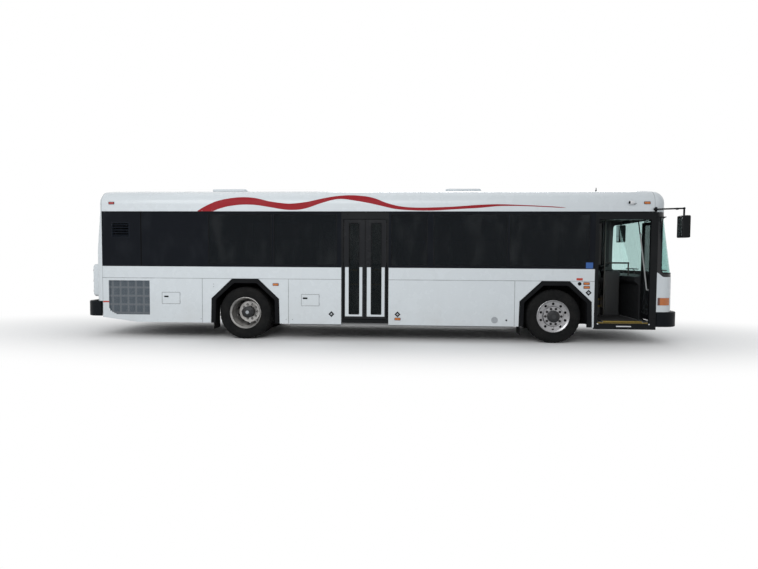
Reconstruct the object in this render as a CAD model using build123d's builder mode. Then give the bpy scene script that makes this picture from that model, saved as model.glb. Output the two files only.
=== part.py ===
from build123d import *
from math import atan2, cos, degrees, pi, radians, sin, sqrt
import os

os.makedirs("parts", exist_ok=True)

# Low-floor city bus. Millimetres, +X forward, +Y to the street side, +Z up, ground at Z = 0,
# X = 0 at the middle of the length over the bumpers. The doors are on the kerb side, -Y.

# Overall sizes
front_overhang = 2210
wheelbase = 5685
rear_overhang = 3075
body_width = 2590
roof_height = 2855
roof_corner = 230
crown_radius = 6000
wall = 45
glass_thickness = 8
seat_gap = 0.3
pin_clearance = 0.3

# Heights of the body's lines
skirt_bottom = 305
waist_seam = 1135
band_bottom = 1358
band_top = 2374
groove = 3

# Ends of the body, measured from the bumpers
front_cap_length = 493
front_set_back = 115
front_edge_radius = 200
windscreen_foot = 1224
windscreen_lean = 155
screen_set_back = 240
sign_edge = 475
front_lamp_edges = (165, 605)
rear_cap_length = 350
rear_set_back = 205
rear_edge_radius = 150
rear_lean = 60
rear_lean_foot = 1654
rear_lamp_edges = (155, 295)
engine_door_edge = 365
cap_kink_radius = 1200
cap_depth = 1370

# Floor
floor_top = 400
floor_thickness = 60
step_from_axle = 1310
step_going = 280
engine_bay = 1077
bulkhead_thickness = 40
platform_rise = 315
platform_step = 180
platform_side = 250

# Front door, open inwards, and rear door, shut
front_door_set_back = 426
front_door_jambs = (63, 120)
front_door_bottom = 277
rear_door_from_axle = 1819
rear_door_width = 872
rear_door_jambs = (40, 33)
rear_door_bottom = 334
door_head_drop = 132
leaf_thickness = 36
leaf_recess = 7
jamb_gap = 12
meeting_gap = 10
header_depth = 165
header_reach = 40

# Front door's arms, above and below each leaf, on pins behind the jambs
leaf_above_floor = 42
leaf_head_gap = 37
boss_radius = 16
arm_offset = 45
leaf_end_past_track = 8
arm_thickness = 12
arm_width = 30
arm_gap = 6
bracket_thickness = 15
pin_radius = 8

# Wheels
tyre_radius = 490
tyre_width = 290
bead_radius = 286
tyre_inset = 48
twin_gap = 47
kingpin_inset = 142
spindle_radius = 40
hub_radius = 108
stud_count = 10
stud_circle = 285.75

# Axles
eye_height = (-60, 60)
beam_half = 55
bowl_radius = 225
bowl_clearance = 25
spring_reach = 480
rear_spring_y = 290

# Wheel arches, seen from the side, and the housings inside them
arch_shift = 18
arch_outer = ((653, skirt_bottom - 60), (640, 765), (248, waist_seam))
arch_inner = ((566, skirt_bottom - 60), (556, 742), (215, 1052))
arch_corner_radius = 60
trim_depth = 40
trim_proud = 8
trim_chamfer = 5
housing_wall = 20
housing_room = 600
housing_rise = 70
housing_depths = (630, 690)
flap_thickness = 6

# Derived places
overall_length = front_overhang + wheelbase + rear_overhang
bumper_front = overall_length / 2
bumper_rear = -overall_length / 2
front_axle_x = bumper_front - front_overhang
rear_axle_x = bumper_rear + rear_overhang
axle_z = tyre_radius
half_width = body_width / 2
inner_y = half_width - wall
front_cap_seam = bumper_front - front_cap_length
rear_cap_seam = bumper_rear + rear_cap_length
front_face = bumper_front - front_set_back
rear_face = bumper_rear + rear_set_back
windscreen_head = band_top - 72
windscreen_top_x = front_face - windscreen_lean
front_arch_x = front_axle_x + arch_shift
rear_arch_x = rear_axle_x + arch_shift
housing_half = housing_room + housing_wall
housing_top = 2 * tyre_radius + housing_rise
front_housing_inner = inner_y - housing_depths[0]
rear_housing_inner = inner_y - housing_depths[1]
bulkhead = bumper_rear + engine_bay
rear_step = rear_axle_x + step_from_axle
rear_floor_bottom = axle_z + bowl_radius + bowl_clearance
rear_floor_top = rear_floor_bottom + floor_thickness
floor_bottom = floor_top - floor_thickness
platform_top = floor_top + platform_rise
sill_top = floor_top - 20
front_door_back = front_arch_x + arch_outer[0][0] + 30
front_door_front = bumper_front - front_door_set_back
front_door_opening = (front_door_back + front_door_jambs[0], front_door_front - front_door_jambs[1])
rear_door_back = rear_axle_x + rear_door_from_axle
rear_door_front = rear_door_back + rear_door_width
rear_door_opening = (rear_door_back + rear_door_jambs[0], rear_door_front - rear_door_jambs[1])
door_head = band_top - door_head_drop
door_half = (front_door_opening[1] - front_door_opening[0]) / 2
arm_length = (door_half - meeting_gap / 2 - leaf_end_past_track) / 2
shaft_y = -half_width + leaf_recess + leaf_thickness / 2 + arm_offset
arm_end_y = shaft_y + arm_length
front_leaf_z = (floor_top + leaf_above_floor, door_head - leaf_head_gap)
low_arm_z = (front_leaf_z[0] - arm_gap - arm_thickness, front_leaf_z[0] - arm_gap)
high_arm_z = (front_leaf_z[1] + arm_gap + 1, front_leaf_z[1] + arm_gap + 1 + arm_thickness)
wheel_centre_y = half_width - tyre_inset - tyre_width / 2
twin_spacing = tyre_width + twin_gap
kingpin_y = wheel_centre_y - kingpin_inset
SIDES = (("right", -1), ("left", 1))


def block(x, y, z, mode=Mode.ADD):
    """Box between its low and high limits on each axis."""
    with Locations(((x[0] + x[1]) / 2, (y[0] + y[1]) / 2, (z[0] + z[1]) / 2)):
        Box(abs(x[1] - x[0]), abs(y[1] - y[0]), abs(z[1] - z[0]), mode=mode)


def rod(start, end, radius, mode=Mode.ADD):
    """Round bar from one point to another."""
    axis = Vector(*end) - Vector(*start)
    with BuildSketch(Plane(origin=start, z_dir=axis)) as section:
        Circle(radius)
    extrude(section.sketch, amount=axis.length, mode=mode)


def prism_y(points, y, radius=0, mode=Mode.ADD):
    """Outline in X and Z with its corners rounded, as deep as the limits y."""
    with BuildSketch(Plane.XZ.offset(-max(y))) as outline:
        with BuildLine():
            Polyline(*points, close=True)
        make_face()
        if radius:
            fillet(outline.vertices(), radius)
    extrude(outline.sketch, amount=abs(y[1] - y[0]), mode=mode)


def prism_x(points, x, radius=0, mode=Mode.ADD):
    """Outline in Y and Z with its corners rounded, as long as the limits x."""
    with BuildSketch(Plane.YZ.offset(min(x))) as outline:
        with BuildLine():
            Polyline(*points, close=True)
        make_face()
        if radius:
            fillet(outline.vertices(), radius)
    extrude(outline.sketch, amount=abs(x[1] - x[0]), mode=mode)


def turned(points, x, y, side):
    """Solid of revolution on a wheel's axis from points of (outboard distance, radius)."""
    with BuildSketch(Plane(origin=(x, y, axle_z), x_dir=(0, side, 0), z_dir=(1, 0, 0))) as section:
        with BuildLine():
            Polyline(*points, close=True)
        make_face()
    revolve(section.sketch, axis=Axis((x, y, axle_z), (0, 1, 0)))


def depth(side, near, far):
    """Limits in Y of a layer between two depths behind the body's side."""
    limits = (side * (half_width - near), side * (half_width - far))
    return min(limits), max(limits)


def mirrored(side, limits):
    """Limits in Y on one side of the body, low one first."""
    return min(side * limits[0], side * limits[1]), max(side * limits[0], side * limits[1])


def rectangle(across, z):
    """Corners of an upright rectangle, from its limits across and its limits in Z."""
    return (across[0], z[0]), (across[1], z[0]), (across[1], z[1]), (across[0], z[1])


def body_outline(inset, bottom):
    """Body's cross-section in Y and Z: upright sides, rounded roof corners and a crowned roof."""
    half = half_width - inset
    crown = crown_radius - inset
    corner = roof_corner - inset
    crown_z = roof_height - crown_radius
    corner_y = half_width - roof_corner
    corner_z = crown_z + sqrt((crown_radius - roof_corner) ** 2 - corner_y**2)
    turn = degrees(atan2(corner_z - crown_z, corner_y))
    with BuildLine() as outline:
        CenterArc((corner_y, corner_z), corner, 0, turn)
        CenterArc((0, crown_z), crown, turn, 180 - 2 * turn)
        CenterArc((-corner_y, corner_z), corner, 180 - turn, turn)
        Polyline((-half, corner_z), (-half, bottom), (half, bottom), (half, corner_z))
    make_face(outline.edges())


def roof_inner_z(y, inset=wall + 10):
    """Height of the roof's underside at a distance from the middle."""
    return roof_height - crown_radius + sqrt((crown_radius - inset) ** 2 - y**2)


def end_body(way, profile, edge_radius, bottom, inset=0):
    """Closed end of the body, its side profile in X and Z and its outer edges rounded."""
    face = [(x - way * inset, z) for x, z in profile]
    back = profile[0][0] - way * cap_depth
    far = profile[0][0] + way * cap_depth
    half = half_width - inset
    with BuildPart() as end:
        with BuildSketch(Plane.YZ.offset(min(back, far))):
            body_outline(inset, bottom)
        extrude(amount=abs(far - back))
        with BuildSketch(Plane.XZ.offset(-body_width)):
            with BuildLine():
                front = FilletPolyline(*face, radius=cap_kink_radius)
                Polyline(front @ 1, (back, face[-1][1]), (back, face[0][1]), front @ 0)
            make_face()
        extrude(amount=2 * body_width, mode=Mode.INTERSECT)
        rim = []
        for edge in end.edges():
            forward = min(way * vertex.X for vertex in edge.vertices()) > way * back + 100
            outside = abs(edge.center().Y) > half - 1 or edge.center().Z > band_top + 20
            if forward and outside:
                rim.append(edge)
        fillet(rim, edge_radius)
    return end.part


front_profile = (
    (front_face, 0),
    (front_face, windscreen_foot),
    (windscreen_top_x, windscreen_head),
    (windscreen_top_x, roof_height + 200),
)
rear_profile = (
    (rear_face, 0),
    (rear_face, rear_lean_foot),
    (rear_face + rear_lean, band_top),
    (rear_face + rear_lean, roof_height + 200),
)


def arch_points(centre, corners):
    """Wheel arch's outline in X and Z from its table of half widths and heights."""
    left = [(centre - half, z) for half, z in corners]
    right = [(centre + half, z) for half, z in reversed(corners)]
    return left + right


def save(piece, name):
    """Label a finished piece and write its file."""
    piece.part.label = name
    export_step(piece.part, f"parts/{name}.step")


# Roof, with two hatch openings and the lugs of their hinges
hatch_x = (rear_axle_x - 590, front_axle_x - 1575)
hatch_half = (310, 300)
roof_thickness = wall + 10
hatch_curb = 25
hatch_lip = 40
hatch_height = 45
hatch_base = roof_height + 6
hatch_hinge = (14, 5)
hatch_barrel_y = (160, 240)
barrel_radius = 7
barrel_pin = 4
whole_height = (0, 2 * roof_height)
whole_width = (-body_width, body_width)
with BuildPart() as roof:
    with BuildSketch(Plane.YZ.offset(rear_cap_seam)):
        body_outline(0, band_top)
    extrude(amount=front_cap_seam - rear_cap_seam)
    with BuildSketch(Plane.YZ.offset(rear_cap_seam)):
        body_outline(roof_thickness, band_top - 10)
    extrude(amount=front_cap_seam - rear_cap_seam, mode=Mode.SUBTRACT)
    for x in hatch_x:
        curb_x = (x - hatch_half[0] - hatch_curb, x + hatch_half[0] + hatch_curb)
        curb_y = (-hatch_half[1] - hatch_curb, hatch_half[1] + hatch_curb)
        block(curb_x, curb_y, (roof_height - roof_thickness, hatch_base - seat_gap))
        hole_x = (x - hatch_half[0], x + hatch_half[0])
        block(hole_x, (-hatch_half[1], hatch_half[1]), (band_top, roof_height + 50), Mode.SUBTRACT)
        axis_x = x + hatch_half[0] + hatch_lip + hatch_hinge[0]
        axis_z = hatch_base + hatch_hinge[1]
        for side in (-1, 1):
            lug_y = mirrored(side, (hatch_barrel_y[1] + seat_gap, hatch_barrel_y[1] + 15))
            block((axis_x - 8, axis_x + 8), lug_y, (roof_height - 20, axis_z + barrel_radius))
            hole = barrel_pin + pin_clearance
            rod((axis_x, lug_y[0] - 1, axis_z), (axis_x, lug_y[1] + 1, axis_z), hole, Mode.SUBTRACT)
save(roof, "roof")

# Roof hatches, each a shallow lid hinged at its front edge
for number, x in enumerate(hatch_x):
    with BuildPart() as hatch:
        lid_x = (x - hatch_half[0] - hatch_lip, x + hatch_half[0] + hatch_lip)
        lid_y = (-hatch_half[1] - hatch_lip, hatch_half[1] + hatch_lip)
        block(lid_x, lid_y, (hatch_base, hatch_base + hatch_height))
        fillet(hatch.edges().filter_by(Axis.Z), 60)
        fillet(hatch.faces().sort_by(Axis.Z)[-1].edges(), 20)
        hollow_x = (x - hatch_half[0] + 30, x + hatch_half[0] - 30)
        hollow_y = (-hatch_half[1] + 30, hatch_half[1] - 30)
        block(hollow_x, hollow_y, (hatch_base - 1, hatch_base + hatch_height - 10), Mode.SUBTRACT)
        axis_x = lid_x[1] + hatch_hinge[0]
        axis_z = hatch_base + hatch_hinge[1]
        for side in (-1, 1):
            low_y = side * hatch_barrel_y[0]
            high_y = side * hatch_barrel_y[1]
            rod((axis_x, low_y, axis_z), (axis_x, high_y, axis_z), barrel_radius)
            rod((axis_x, low_y, axis_z), (axis_x, high_y + side * 12, axis_z), barrel_pin)
            strap_z = (hatch_base + 1, axis_z + barrel_radius)
            block((lid_x[1] - 10, axis_x), mirrored(side, hatch_barrel_y), strap_z)
    save(hatch, ("roof_hatch_rear", "roof_hatch_front")[number])

# Front cap, an open shell round the windscreen, the sign and the lamps
cap_bottom = 596
screen_x = (front_face - screen_set_back, bumper_front)
screen_z = (windscreen_foot + 66, windscreen_head - 17)
sign_half = half_width - sign_edge
sign_z = (band_top - 24, roof_height - 235)
lamp_y = (half_width - front_lamp_edges[1], half_width - front_lamp_edges[0])
lamp_z = (640, 860)
front_outer = end_body(1, front_profile, front_edge_radius, cap_bottom)
front_inner = end_body(1, front_profile, front_edge_radius - wall, cap_bottom - 10, wall)


def front_openings(mode):
    """Windscreen opening, right round both corners, and sign opening through the front."""
    prism_y(rectangle(screen_x, screen_z), whole_width, 60, mode)
    prism_x(rectangle((-sign_half, sign_half), sign_z), (front_cap_seam, bumper_front), 40, mode)


with BuildPart() as front_cap:
    add(front_outer)
    add(front_inner, mode=Mode.SUBTRACT)
    block((0, front_door_front), whole_width, (0, band_top), Mode.SUBTRACT)
    block((0, front_cap_seam), whole_width, whole_height, Mode.SUBTRACT)
    front_openings(Mode.SUBTRACT)
    for side in (-1, 1):
        block((front_cap_seam, bumper_front), mirrored(side, lamp_y), lamp_z, Mode.SUBTRACT)
save(front_cap, "front_cap")

# Windscreen halves and front sign glass, curved with the cap
screen_post = 24
glass_inset = 6
glass_outer = end_body(1, front_profile, front_edge_radius - glass_inset, cap_bottom, glass_inset)
glass_back = glass_inset + glass_thickness
glass_inner = end_body(1, front_profile, front_edge_radius - glass_back, cap_bottom - 10, glass_back)
with BuildPart() as windscreen:
    front_openings(Mode.ADD)
    add(glass_outer, mode=Mode.INTERSECT)
    add(glass_inner, mode=Mode.SUBTRACT)
    post = (-screen_post / 2, screen_post / 2)
    block((front_cap_seam, bumper_front), post, (0, windscreen_head), Mode.SUBTRACT)
save(windscreen, "windscreen")

# Sign boxes, one behind the front sign glass and one in the window behind the front door
side_sign_x = (front_door_back - 1354, front_door_back - 262)
side_sign_drop = 311
sign_box_depth = 120
with BuildPart() as sign_boxes:
    box_x = (windscreen_top_x - wall - seat_gap - sign_box_depth, windscreen_top_x - wall - seat_gap)
    block(box_x, (-sign_half - 40, sign_half + 40), (sign_z[0] - 10, sign_z[1] - 25))
    fillet(sign_boxes.edges().filter_by(Axis.Y), 6)
    box_y = depth(-1, wall + seat_gap, wall + 60)
    block(side_sign_x, box_y, (band_top - side_sign_drop, band_top - 29))
save(sign_boxes, "sign_boxes")

# Rear cap, open for the engine door and the lamps
rear_cap_bottom = 693
engine_door_z = (734, 1384)
engine_door_half = half_width - engine_door_edge
rear_lamp_y = (half_width - rear_lamp_edges[1], half_width - rear_lamp_edges[0])
rear_lamp_z = (760, 1340)
engine_barrel_radius = 9
engine_pin_radius = 5
engine_barrel_y = (300, 400)
engine_axis_x = rear_face - engine_barrel_radius - seat_gap
engine_axis_z = engine_door_z[1] + engine_barrel_radius
rear_outer = end_body(-1, rear_profile, rear_edge_radius, rear_cap_bottom)
rear_inner = end_body(-1, rear_profile, rear_edge_radius - wall, rear_cap_bottom - 10, wall)
with BuildPart() as rear_cap:
    add(rear_outer)
    add(rear_inner, mode=Mode.SUBTRACT)
    block((rear_cap_seam, 0), whole_width, whole_height, Mode.SUBTRACT)
    tail = (bumper_rear, rear_cap_seam)
    block(tail, (-engine_door_half, engine_door_half), engine_door_z, Mode.SUBTRACT)
    for side in (-1, 1):
        block(tail, mirrored(side, rear_lamp_y), rear_lamp_z, Mode.SUBTRACT)
    for side in (-1, 1):
        lug_y = mirrored(side, (engine_barrel_y[1] + seat_gap, engine_barrel_y[1] + 24))
        lug_x = (engine_axis_x - 10, rear_face)
        block(lug_x, lug_y, (engine_door_z[1], engine_axis_z + engine_barrel_radius))
        low = (engine_axis_x, lug_y[0] - 1, engine_axis_z)
        high = (engine_axis_x, lug_y[1] + 1, engine_axis_z)
        rod(low, high, engine_pin_radius + pin_clearance, Mode.SUBTRACT)
save(rear_cap, "rear_cap")

# Engine door, a bulged lid hinged along its top edge
door_gap = 8
engine_door_bulge = 110
engine_hinge_z = engine_door_z[1] - door_gap
engine_slots = 8
engine_lid = [
    (rear_face + 4, engine_door_z[0] + door_gap),
    (rear_face - engine_door_bulge, engine_door_z[0] + 60),
    (rear_face - engine_door_bulge, engine_door_z[1] - 90),
    (rear_face + 4, engine_hinge_z),
]
with BuildPart() as engine_door:
    prism_y(engine_lid, (-engine_door_half + door_gap, engine_door_half - door_gap))
    fillet(engine_door.edges().filter_by(Axis.Y).group_by(Axis.X)[0], 50)
    hollow = [(x + 30, z) for x, z in engine_lid[1:3]]
    hollow = [(rear_face + 5, engine_door_z[0] + 60)] + hollow + [(rear_face + 5, engine_hinge_z - 50)]
    prism_y(hollow, (-engine_door_half + 60, engine_door_half - 60), 0, Mode.SUBTRACT)
    for side in (-1, 1):
        low = (engine_axis_x, side * engine_barrel_y[0], engine_axis_z)
        rod(low, (engine_axis_x, side * engine_barrel_y[1], engine_axis_z), engine_barrel_radius)
        rod(low, (engine_axis_x, side * (engine_barrel_y[1] + 20), engine_axis_z), engine_pin_radius)
        strap_x = (engine_axis_x - engine_barrel_radius, engine_axis_x + 5)
        block(strap_x, mirrored(side, engine_barrel_y), (engine_hinge_z - 12, engine_axis_z))
        for row in range(engine_slots):
            slot_z = engine_door_z[0] + 130 + row * 50
            slot_y = mirrored(side, (60, engine_door_half - 230))
            block((bumper_rear, rear_face - 70), slot_y, (slot_z, slot_z + 22), Mode.SUBTRACT)
save(engine_door, "engine_door")

# Side panels, cut for arches, doors and radiator, with grooves at their seams and flush doors
skirt_rise_x = bumper_rear + 1002
skirt_rise = 84
filter_x = (bumper_rear + 471, bumper_rear + 1265)
filter_z = (443, 1087)
panel_spans = {
    "right": (
        (rear_cap_seam, rear_door_back),
        (rear_door_front, front_door_back),
    ),
    "left": ((rear_cap_seam, front_door_front),),
}
seams_x = (rear_axle_x - 798, rear_axle_x + 835, front_axle_x - 709)
flush_doors = (
    # back, front, foot, head
    (bumper_rear + 1503, bumper_rear + 1848, 654, 869),
    (rear_axle_x + 1075, rear_axle_x + 1408, 641, 853),
)
for name, side in SIDES:
    layer = depth(side, 0, wall)
    cut = depth(side, 0, groove)
    with BuildPart() as panels:
        for low, high in panel_spans[name]:
            block((low, high), layer, (skirt_bottom, band_bottom))
        for arch_x in (rear_arch_x, front_arch_x):
            prism_y(arch_points(arch_x, arch_outer), layer, 0, Mode.SUBTRACT)
        tail = [
            (rear_cap_seam, skirt_bottom),
            (skirt_rise_x, skirt_bottom),
            (rear_cap_seam, skirt_bottom + skirt_rise),
        ]
        prism_y(tail, layer, 0, Mode.SUBTRACT)
        if name == "right":
            block(filter_x, layer, filter_z, Mode.SUBTRACT)
        for low, high in panel_spans[name]:
            block((low, high), cut, (waist_seam - groove / 2, waist_seam + groove / 2), Mode.SUBTRACT)
        for x in seams_x:
            block((x - groove / 2, x + groove / 2), cut, (skirt_bottom, waist_seam), Mode.SUBTRACT)
        for back, front, foot, head in flush_doors:
            block((back, front), cut, (foot, head), Mode.SUBTRACT)
            block((back + groove, front - groove), cut, (foot + groove, head - groove))
    save(panels, f"side_panels_{name}")

# Window frames, the black band, and its glass
bay = 1258
band_start = rear_axle_x - 718
driver_window = (front_door_front - 1009, front_door_front - 144)
louvre_x = (bumper_rear + 540, bumper_rear + 892)
louvre_z = (band_top - 483, band_top - 193)
pane_margin = 38
pane_bar = 15
window_panes = {
    "right": (
        (band_start + pane_margin, band_start + bay - pane_bar),
        (band_start + bay + pane_bar, rear_door_back - 80),
        (rear_door_front + 40, rear_door_front + 706),
        (rear_door_front + 811, front_door_back - 1531 - pane_bar),
        (front_door_back - 1531 + pane_bar, front_door_back - 98),
    ),
    "left": tuple((band_start + bay * n + pane_bar, band_start + bay * (n + 1) - pane_bar) for n in range(5))
    + ((band_start + bay * 5 + pane_bar, driver_window[0] - 100), driver_window),
}
pane_z = (band_bottom + pane_margin, band_top - pane_margin)
for name, side in SIDES:
    with BuildPart() as frames:
        for low, high in panel_spans[name]:
            block((low, high), depth(side, 0, wall), (band_bottom, band_top))
        for pane_x in window_panes[name]:
            block(pane_x, depth(side, 0, wall), pane_z, Mode.SUBTRACT)
        if name == "right":
            block(louvre_x, depth(side, 0, wall), louvre_z, Mode.SUBTRACT)
    save(frames, f"window_frames_{name}")

with BuildPart() as side_glass:
    for name, side in SIDES:
        for pane_x in window_panes[name]:
            block(pane_x, depth(side, 4, 4 + glass_thickness), pane_z)
save(side_glass, "side_glass")

# Radiator screen, a flat sheet on a lattice of ribs, and the slatted louvre above it
grille_frame = 22
slat_pitch = 46
screen_ribs = (5, 4)
rib_half = 5
with BuildPart() as grilles:
    layer = depth(-1, 2, 30)
    for span, rise in ((filter_x, filter_z), (louvre_x, louvre_z)):
        block(span, layer, rise)
        inner_x = (span[0] + grille_frame, span[1] - grille_frame)
        inner_z = (rise[0] + grille_frame, rise[1] - grille_frame)
        block(inner_x, layer, inner_z, Mode.SUBTRACT)
        if span == filter_x:
            block(inner_x, depth(-1, 12, 15), inner_z)
            for n in range(1, screen_ribs[0]):
                x = inner_x[0] + (inner_x[1] - inner_x[0]) * n / screen_ribs[0]
                block((x - rib_half, x + rib_half), depth(-1, 10, 26), inner_z)
            for n in range(1, screen_ribs[1]):
                z = inner_z[0] + (inner_z[1] - inner_z[0]) * n / screen_ribs[1]
                block(inner_x, depth(-1, 10, 26), (z - rib_half, z + rib_half))
        else:
            count = int((inner_z[1] - inner_z[0]) / slat_pitch)
            pitch = (inner_z[1] - inner_z[0]) / count
            near, far = depth(-1, 4, 28)
            for row in range(count):
                z = inner_z[0] + (row + 0.5) * pitch
                prism_x([(near, z - 14), (near, z - 8), (far, z + 14), (far, z + 8)], inner_x)
save(grilles, "grilles")

# Wheel arch trims
with BuildPart() as arch_trims:
    for name, side in SIDES:
        for arch_x in (rear_arch_x, front_arch_x):
            layer = depth(side, -trim_proud, trim_depth)
            prism_y(arch_points(arch_x, arch_outer), layer)
            prism_y(arch_points(arch_x, arch_inner), layer, arch_corner_radius, Mode.SUBTRACT)
    face_y = half_width + trim_proud
    rim = arch_trims.edges().filter_by(lambda e: abs(abs(e.center().Y) - face_y) < 0.1)
    chamfer(rim.filter_by(lambda e: e.center().Z > skirt_bottom - 50), trim_chamfer)
    block((bumper_rear, bumper_front), whole_width, (0, skirt_bottom), Mode.SUBTRACT)
save(arch_trims, "arch_trims")

# Door frames, with the front door's header box inside
with BuildPart() as door_frames:
    layer = depth(-1, 0, wall)
    block((front_door_back, front_door_front), layer, (front_door_bottom, band_top))
    block(front_door_opening, layer, (front_door_bottom + 40, door_head), Mode.SUBTRACT)
    block(front_door_opening, layer, (front_door_bottom, sill_top))
    header_x = (front_door_opening[0] - header_reach, front_door_opening[1] + header_reach)
    block(header_x, depth(-1, wall, header_depth), (door_head, band_top))
    for x in front_door_opening:
        boss = (x, shaft_y, high_arm_z[1] + seat_gap)
        rod(boss, (x, shaft_y, door_head + 1), boss_radius)
        rod((x, shaft_y, high_arm_z[0]), boss, pin_radius)
    block((rear_door_back, rear_door_front), layer, (rear_door_bottom, band_top))
    block(rear_door_opening, layer, (floor_top, door_head), Mode.SUBTRACT)
    rear_axis_y = -half_width + leaf_recess + 10
    for x in (rear_door_opening[0] + jamb_gap + 10, rear_door_opening[1] - jamb_gap - 10):
        hole = 5 + pin_clearance
        rod((x, rear_axis_y, floor_top - 20), (x, rear_axis_y, floor_top + 1), hole, Mode.SUBTRACT)
        rod((x, rear_axis_y, door_head - 1), (x, rear_axis_y, door_head + 20), hole, Mode.SUBTRACT)
save(door_frames, "door_frames")

# Rear door leaves, hinged at the outer jambs to swing outwards
rear_leaf_z = (floor_top + 10, door_head - 8)
rear_glass_z = (floor_top + 95, door_head - 72)
leaf_layer = depth(-1, leaf_recess, leaf_recess + leaf_thickness)
rear_meeting = (rear_door_opening[0] + rear_door_opening[1]) / 2
rear_leaves = (
    # name, hinge edge, meeting edge, direction from the hinge into the doorway
    ("rear", rear_door_opening[0] + jamb_gap, rear_meeting - meeting_gap / 2, 1),
    ("front", rear_door_opening[1] - jamb_gap, rear_meeting + meeting_gap / 2, -1),
)
for name, hinge_edge, meeting_edge, inward in rear_leaves:
    pin_x = hinge_edge + inward * 10
    glass_x = (hinge_edge + inward * 90, meeting_edge - inward * 106)
    with BuildPart() as leaf:
        block((hinge_edge, meeting_edge), leaf_layer, rear_leaf_z)
        block(glass_x, leaf_layer, rear_glass_z, Mode.SUBTRACT)
        rod((pin_x, rear_axis_y, floor_top - 15), (pin_x, rear_axis_y, rear_leaf_z[0] + 5), 5)
        rod((pin_x, rear_axis_y, rear_leaf_z[1] - 5), (pin_x, rear_axis_y, door_head + 15), 5)
    save(leaf, f"rear_door_leaf_{name}")
    with BuildPart() as pane:
        pane_y = depth(-1, leaf_recess + 12, leaf_recess + 12 + glass_thickness)
        block(glass_x, pane_y, rear_glass_z)
    save(pane, f"rear_door_glass_{name}")

# Front door leaves, standing open behind the jambs, each between two arms
front_glass_z = (front_leaf_z[0] + 80, front_leaf_z[1] - 45)
leaf_y = (shaft_y - leaf_end_past_track, shaft_y + 2 * arm_length - jamb_gap)
glass_y = (leaf_y[0] + 55, leaf_y[1] - 55)
grab_bar_z = (front_leaf_z[0] + 543, front_leaf_z[1] - 205)
front_leaves = (
    # name, jamb, direction from the jamb into the doorway
    ("rear", front_door_opening[0], 1),
    ("front", front_door_opening[1], -1),
)
for name, jamb, inward in front_leaves:
    leaf_x = jamb - inward * arm_offset
    leaf_face = leaf_x + inward * leaf_thickness / 2
    leaf_through = (leaf_x - leaf_thickness / 2, leaf_x + leaf_thickness / 2)
    with BuildPart() as leaf:
        block(leaf_through, leaf_y, front_leaf_z)
        block(leaf_through, glass_y, front_glass_z, Mode.SUBTRACT)
        # Brackets at foot and head carry the pins that turn in the arms
        bracket_y = (arm_end_y - 14, arm_end_y + 14)
        low_bracket = (front_leaf_z[0], front_leaf_z[0] + bracket_thickness)
        high_bracket = (front_leaf_z[1] - bracket_thickness, front_leaf_z[1])
        low_pin = (low_arm_z[0] - 2, front_leaf_z[0] + 1)
        high_pin = (front_leaf_z[1] - 1, high_arm_z[1] + 2)
        for bracket_z, pin_z in ((low_bracket, low_pin), (high_bracket, high_pin)):
            block((leaf_face, jamb + inward * 12), bracket_y, bracket_z)
            rod((jamb, arm_end_y, pin_z[0]), (jamb, arm_end_y, pin_z[1]), pin_radius)
        # Slanting grab bar on the inner face
        bar_x = leaf_face + inward * 40
        low = (bar_x, leaf_y[0] + 38, grab_bar_z[0])
        high = (bar_x, leaf_y[1] - 35, grab_bar_z[1])
        rod(low, high, 12)
        for point in (low, high):
            rod((leaf_face - inward * 2, point[1], point[2]), (bar_x, point[1], point[2]), 11)
    save(leaf, f"front_door_leaf_{name}")
    with BuildPart() as pane:
        block((leaf_x - glass_thickness / 2, leaf_x + glass_thickness / 2), glass_y, front_glass_z)
    save(pane, f"front_door_glass_{name}")
    with BuildPart() as arms:
        for level in (low_arm_z, high_arm_z):
            block((jamb - arm_width / 2, jamb + arm_width / 2), (shaft_y, arm_end_y), level)
            for y in (shaft_y, arm_end_y):
                rod((jamb, y, level[0]), (jamb, y, level[1]), arm_width / 2)
                rod((jamb, y, level[0]), (jamb, y, level[1]), pin_radius + pin_clearance, Mode.SUBTRACT)
    save(arms, f"front_door_arm_{name}")

# Fold-out ramp, lying on the floor with its hinge at the sill
ramp_margin = 110
ramp_thickness = 18
ramp_length = 1150
ramp_hinge_inset = 33
ramp_pin = 5
ramp_lug = 18
ramp_x = (front_door_opening[0] + ramp_margin, front_door_opening[1] - ramp_margin)
ramp_hinge_y = -half_width + ramp_hinge_inset
ramp_z = (floor_top + seat_gap, floor_top + seat_gap + ramp_thickness)
ramp_hinge_z = (ramp_z[0] + ramp_z[1]) / 2
with BuildPart() as ramp:
    block(ramp_x, (ramp_hinge_y, ramp_hinge_y + ramp_length), ramp_z)
    low = (ramp_x[0], ramp_hinge_y, ramp_hinge_z)
    rod(low, (ramp_x[1], ramp_hinge_y, ramp_hinge_z), ramp_thickness / 2)
    low = (ramp_x[0] - 14, ramp_hinge_y, ramp_hinge_z)
    rod(low, (ramp_x[1] + 14, ramp_hinge_y, ramp_hinge_z), ramp_pin)
save(ramp, "ramp")

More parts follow.
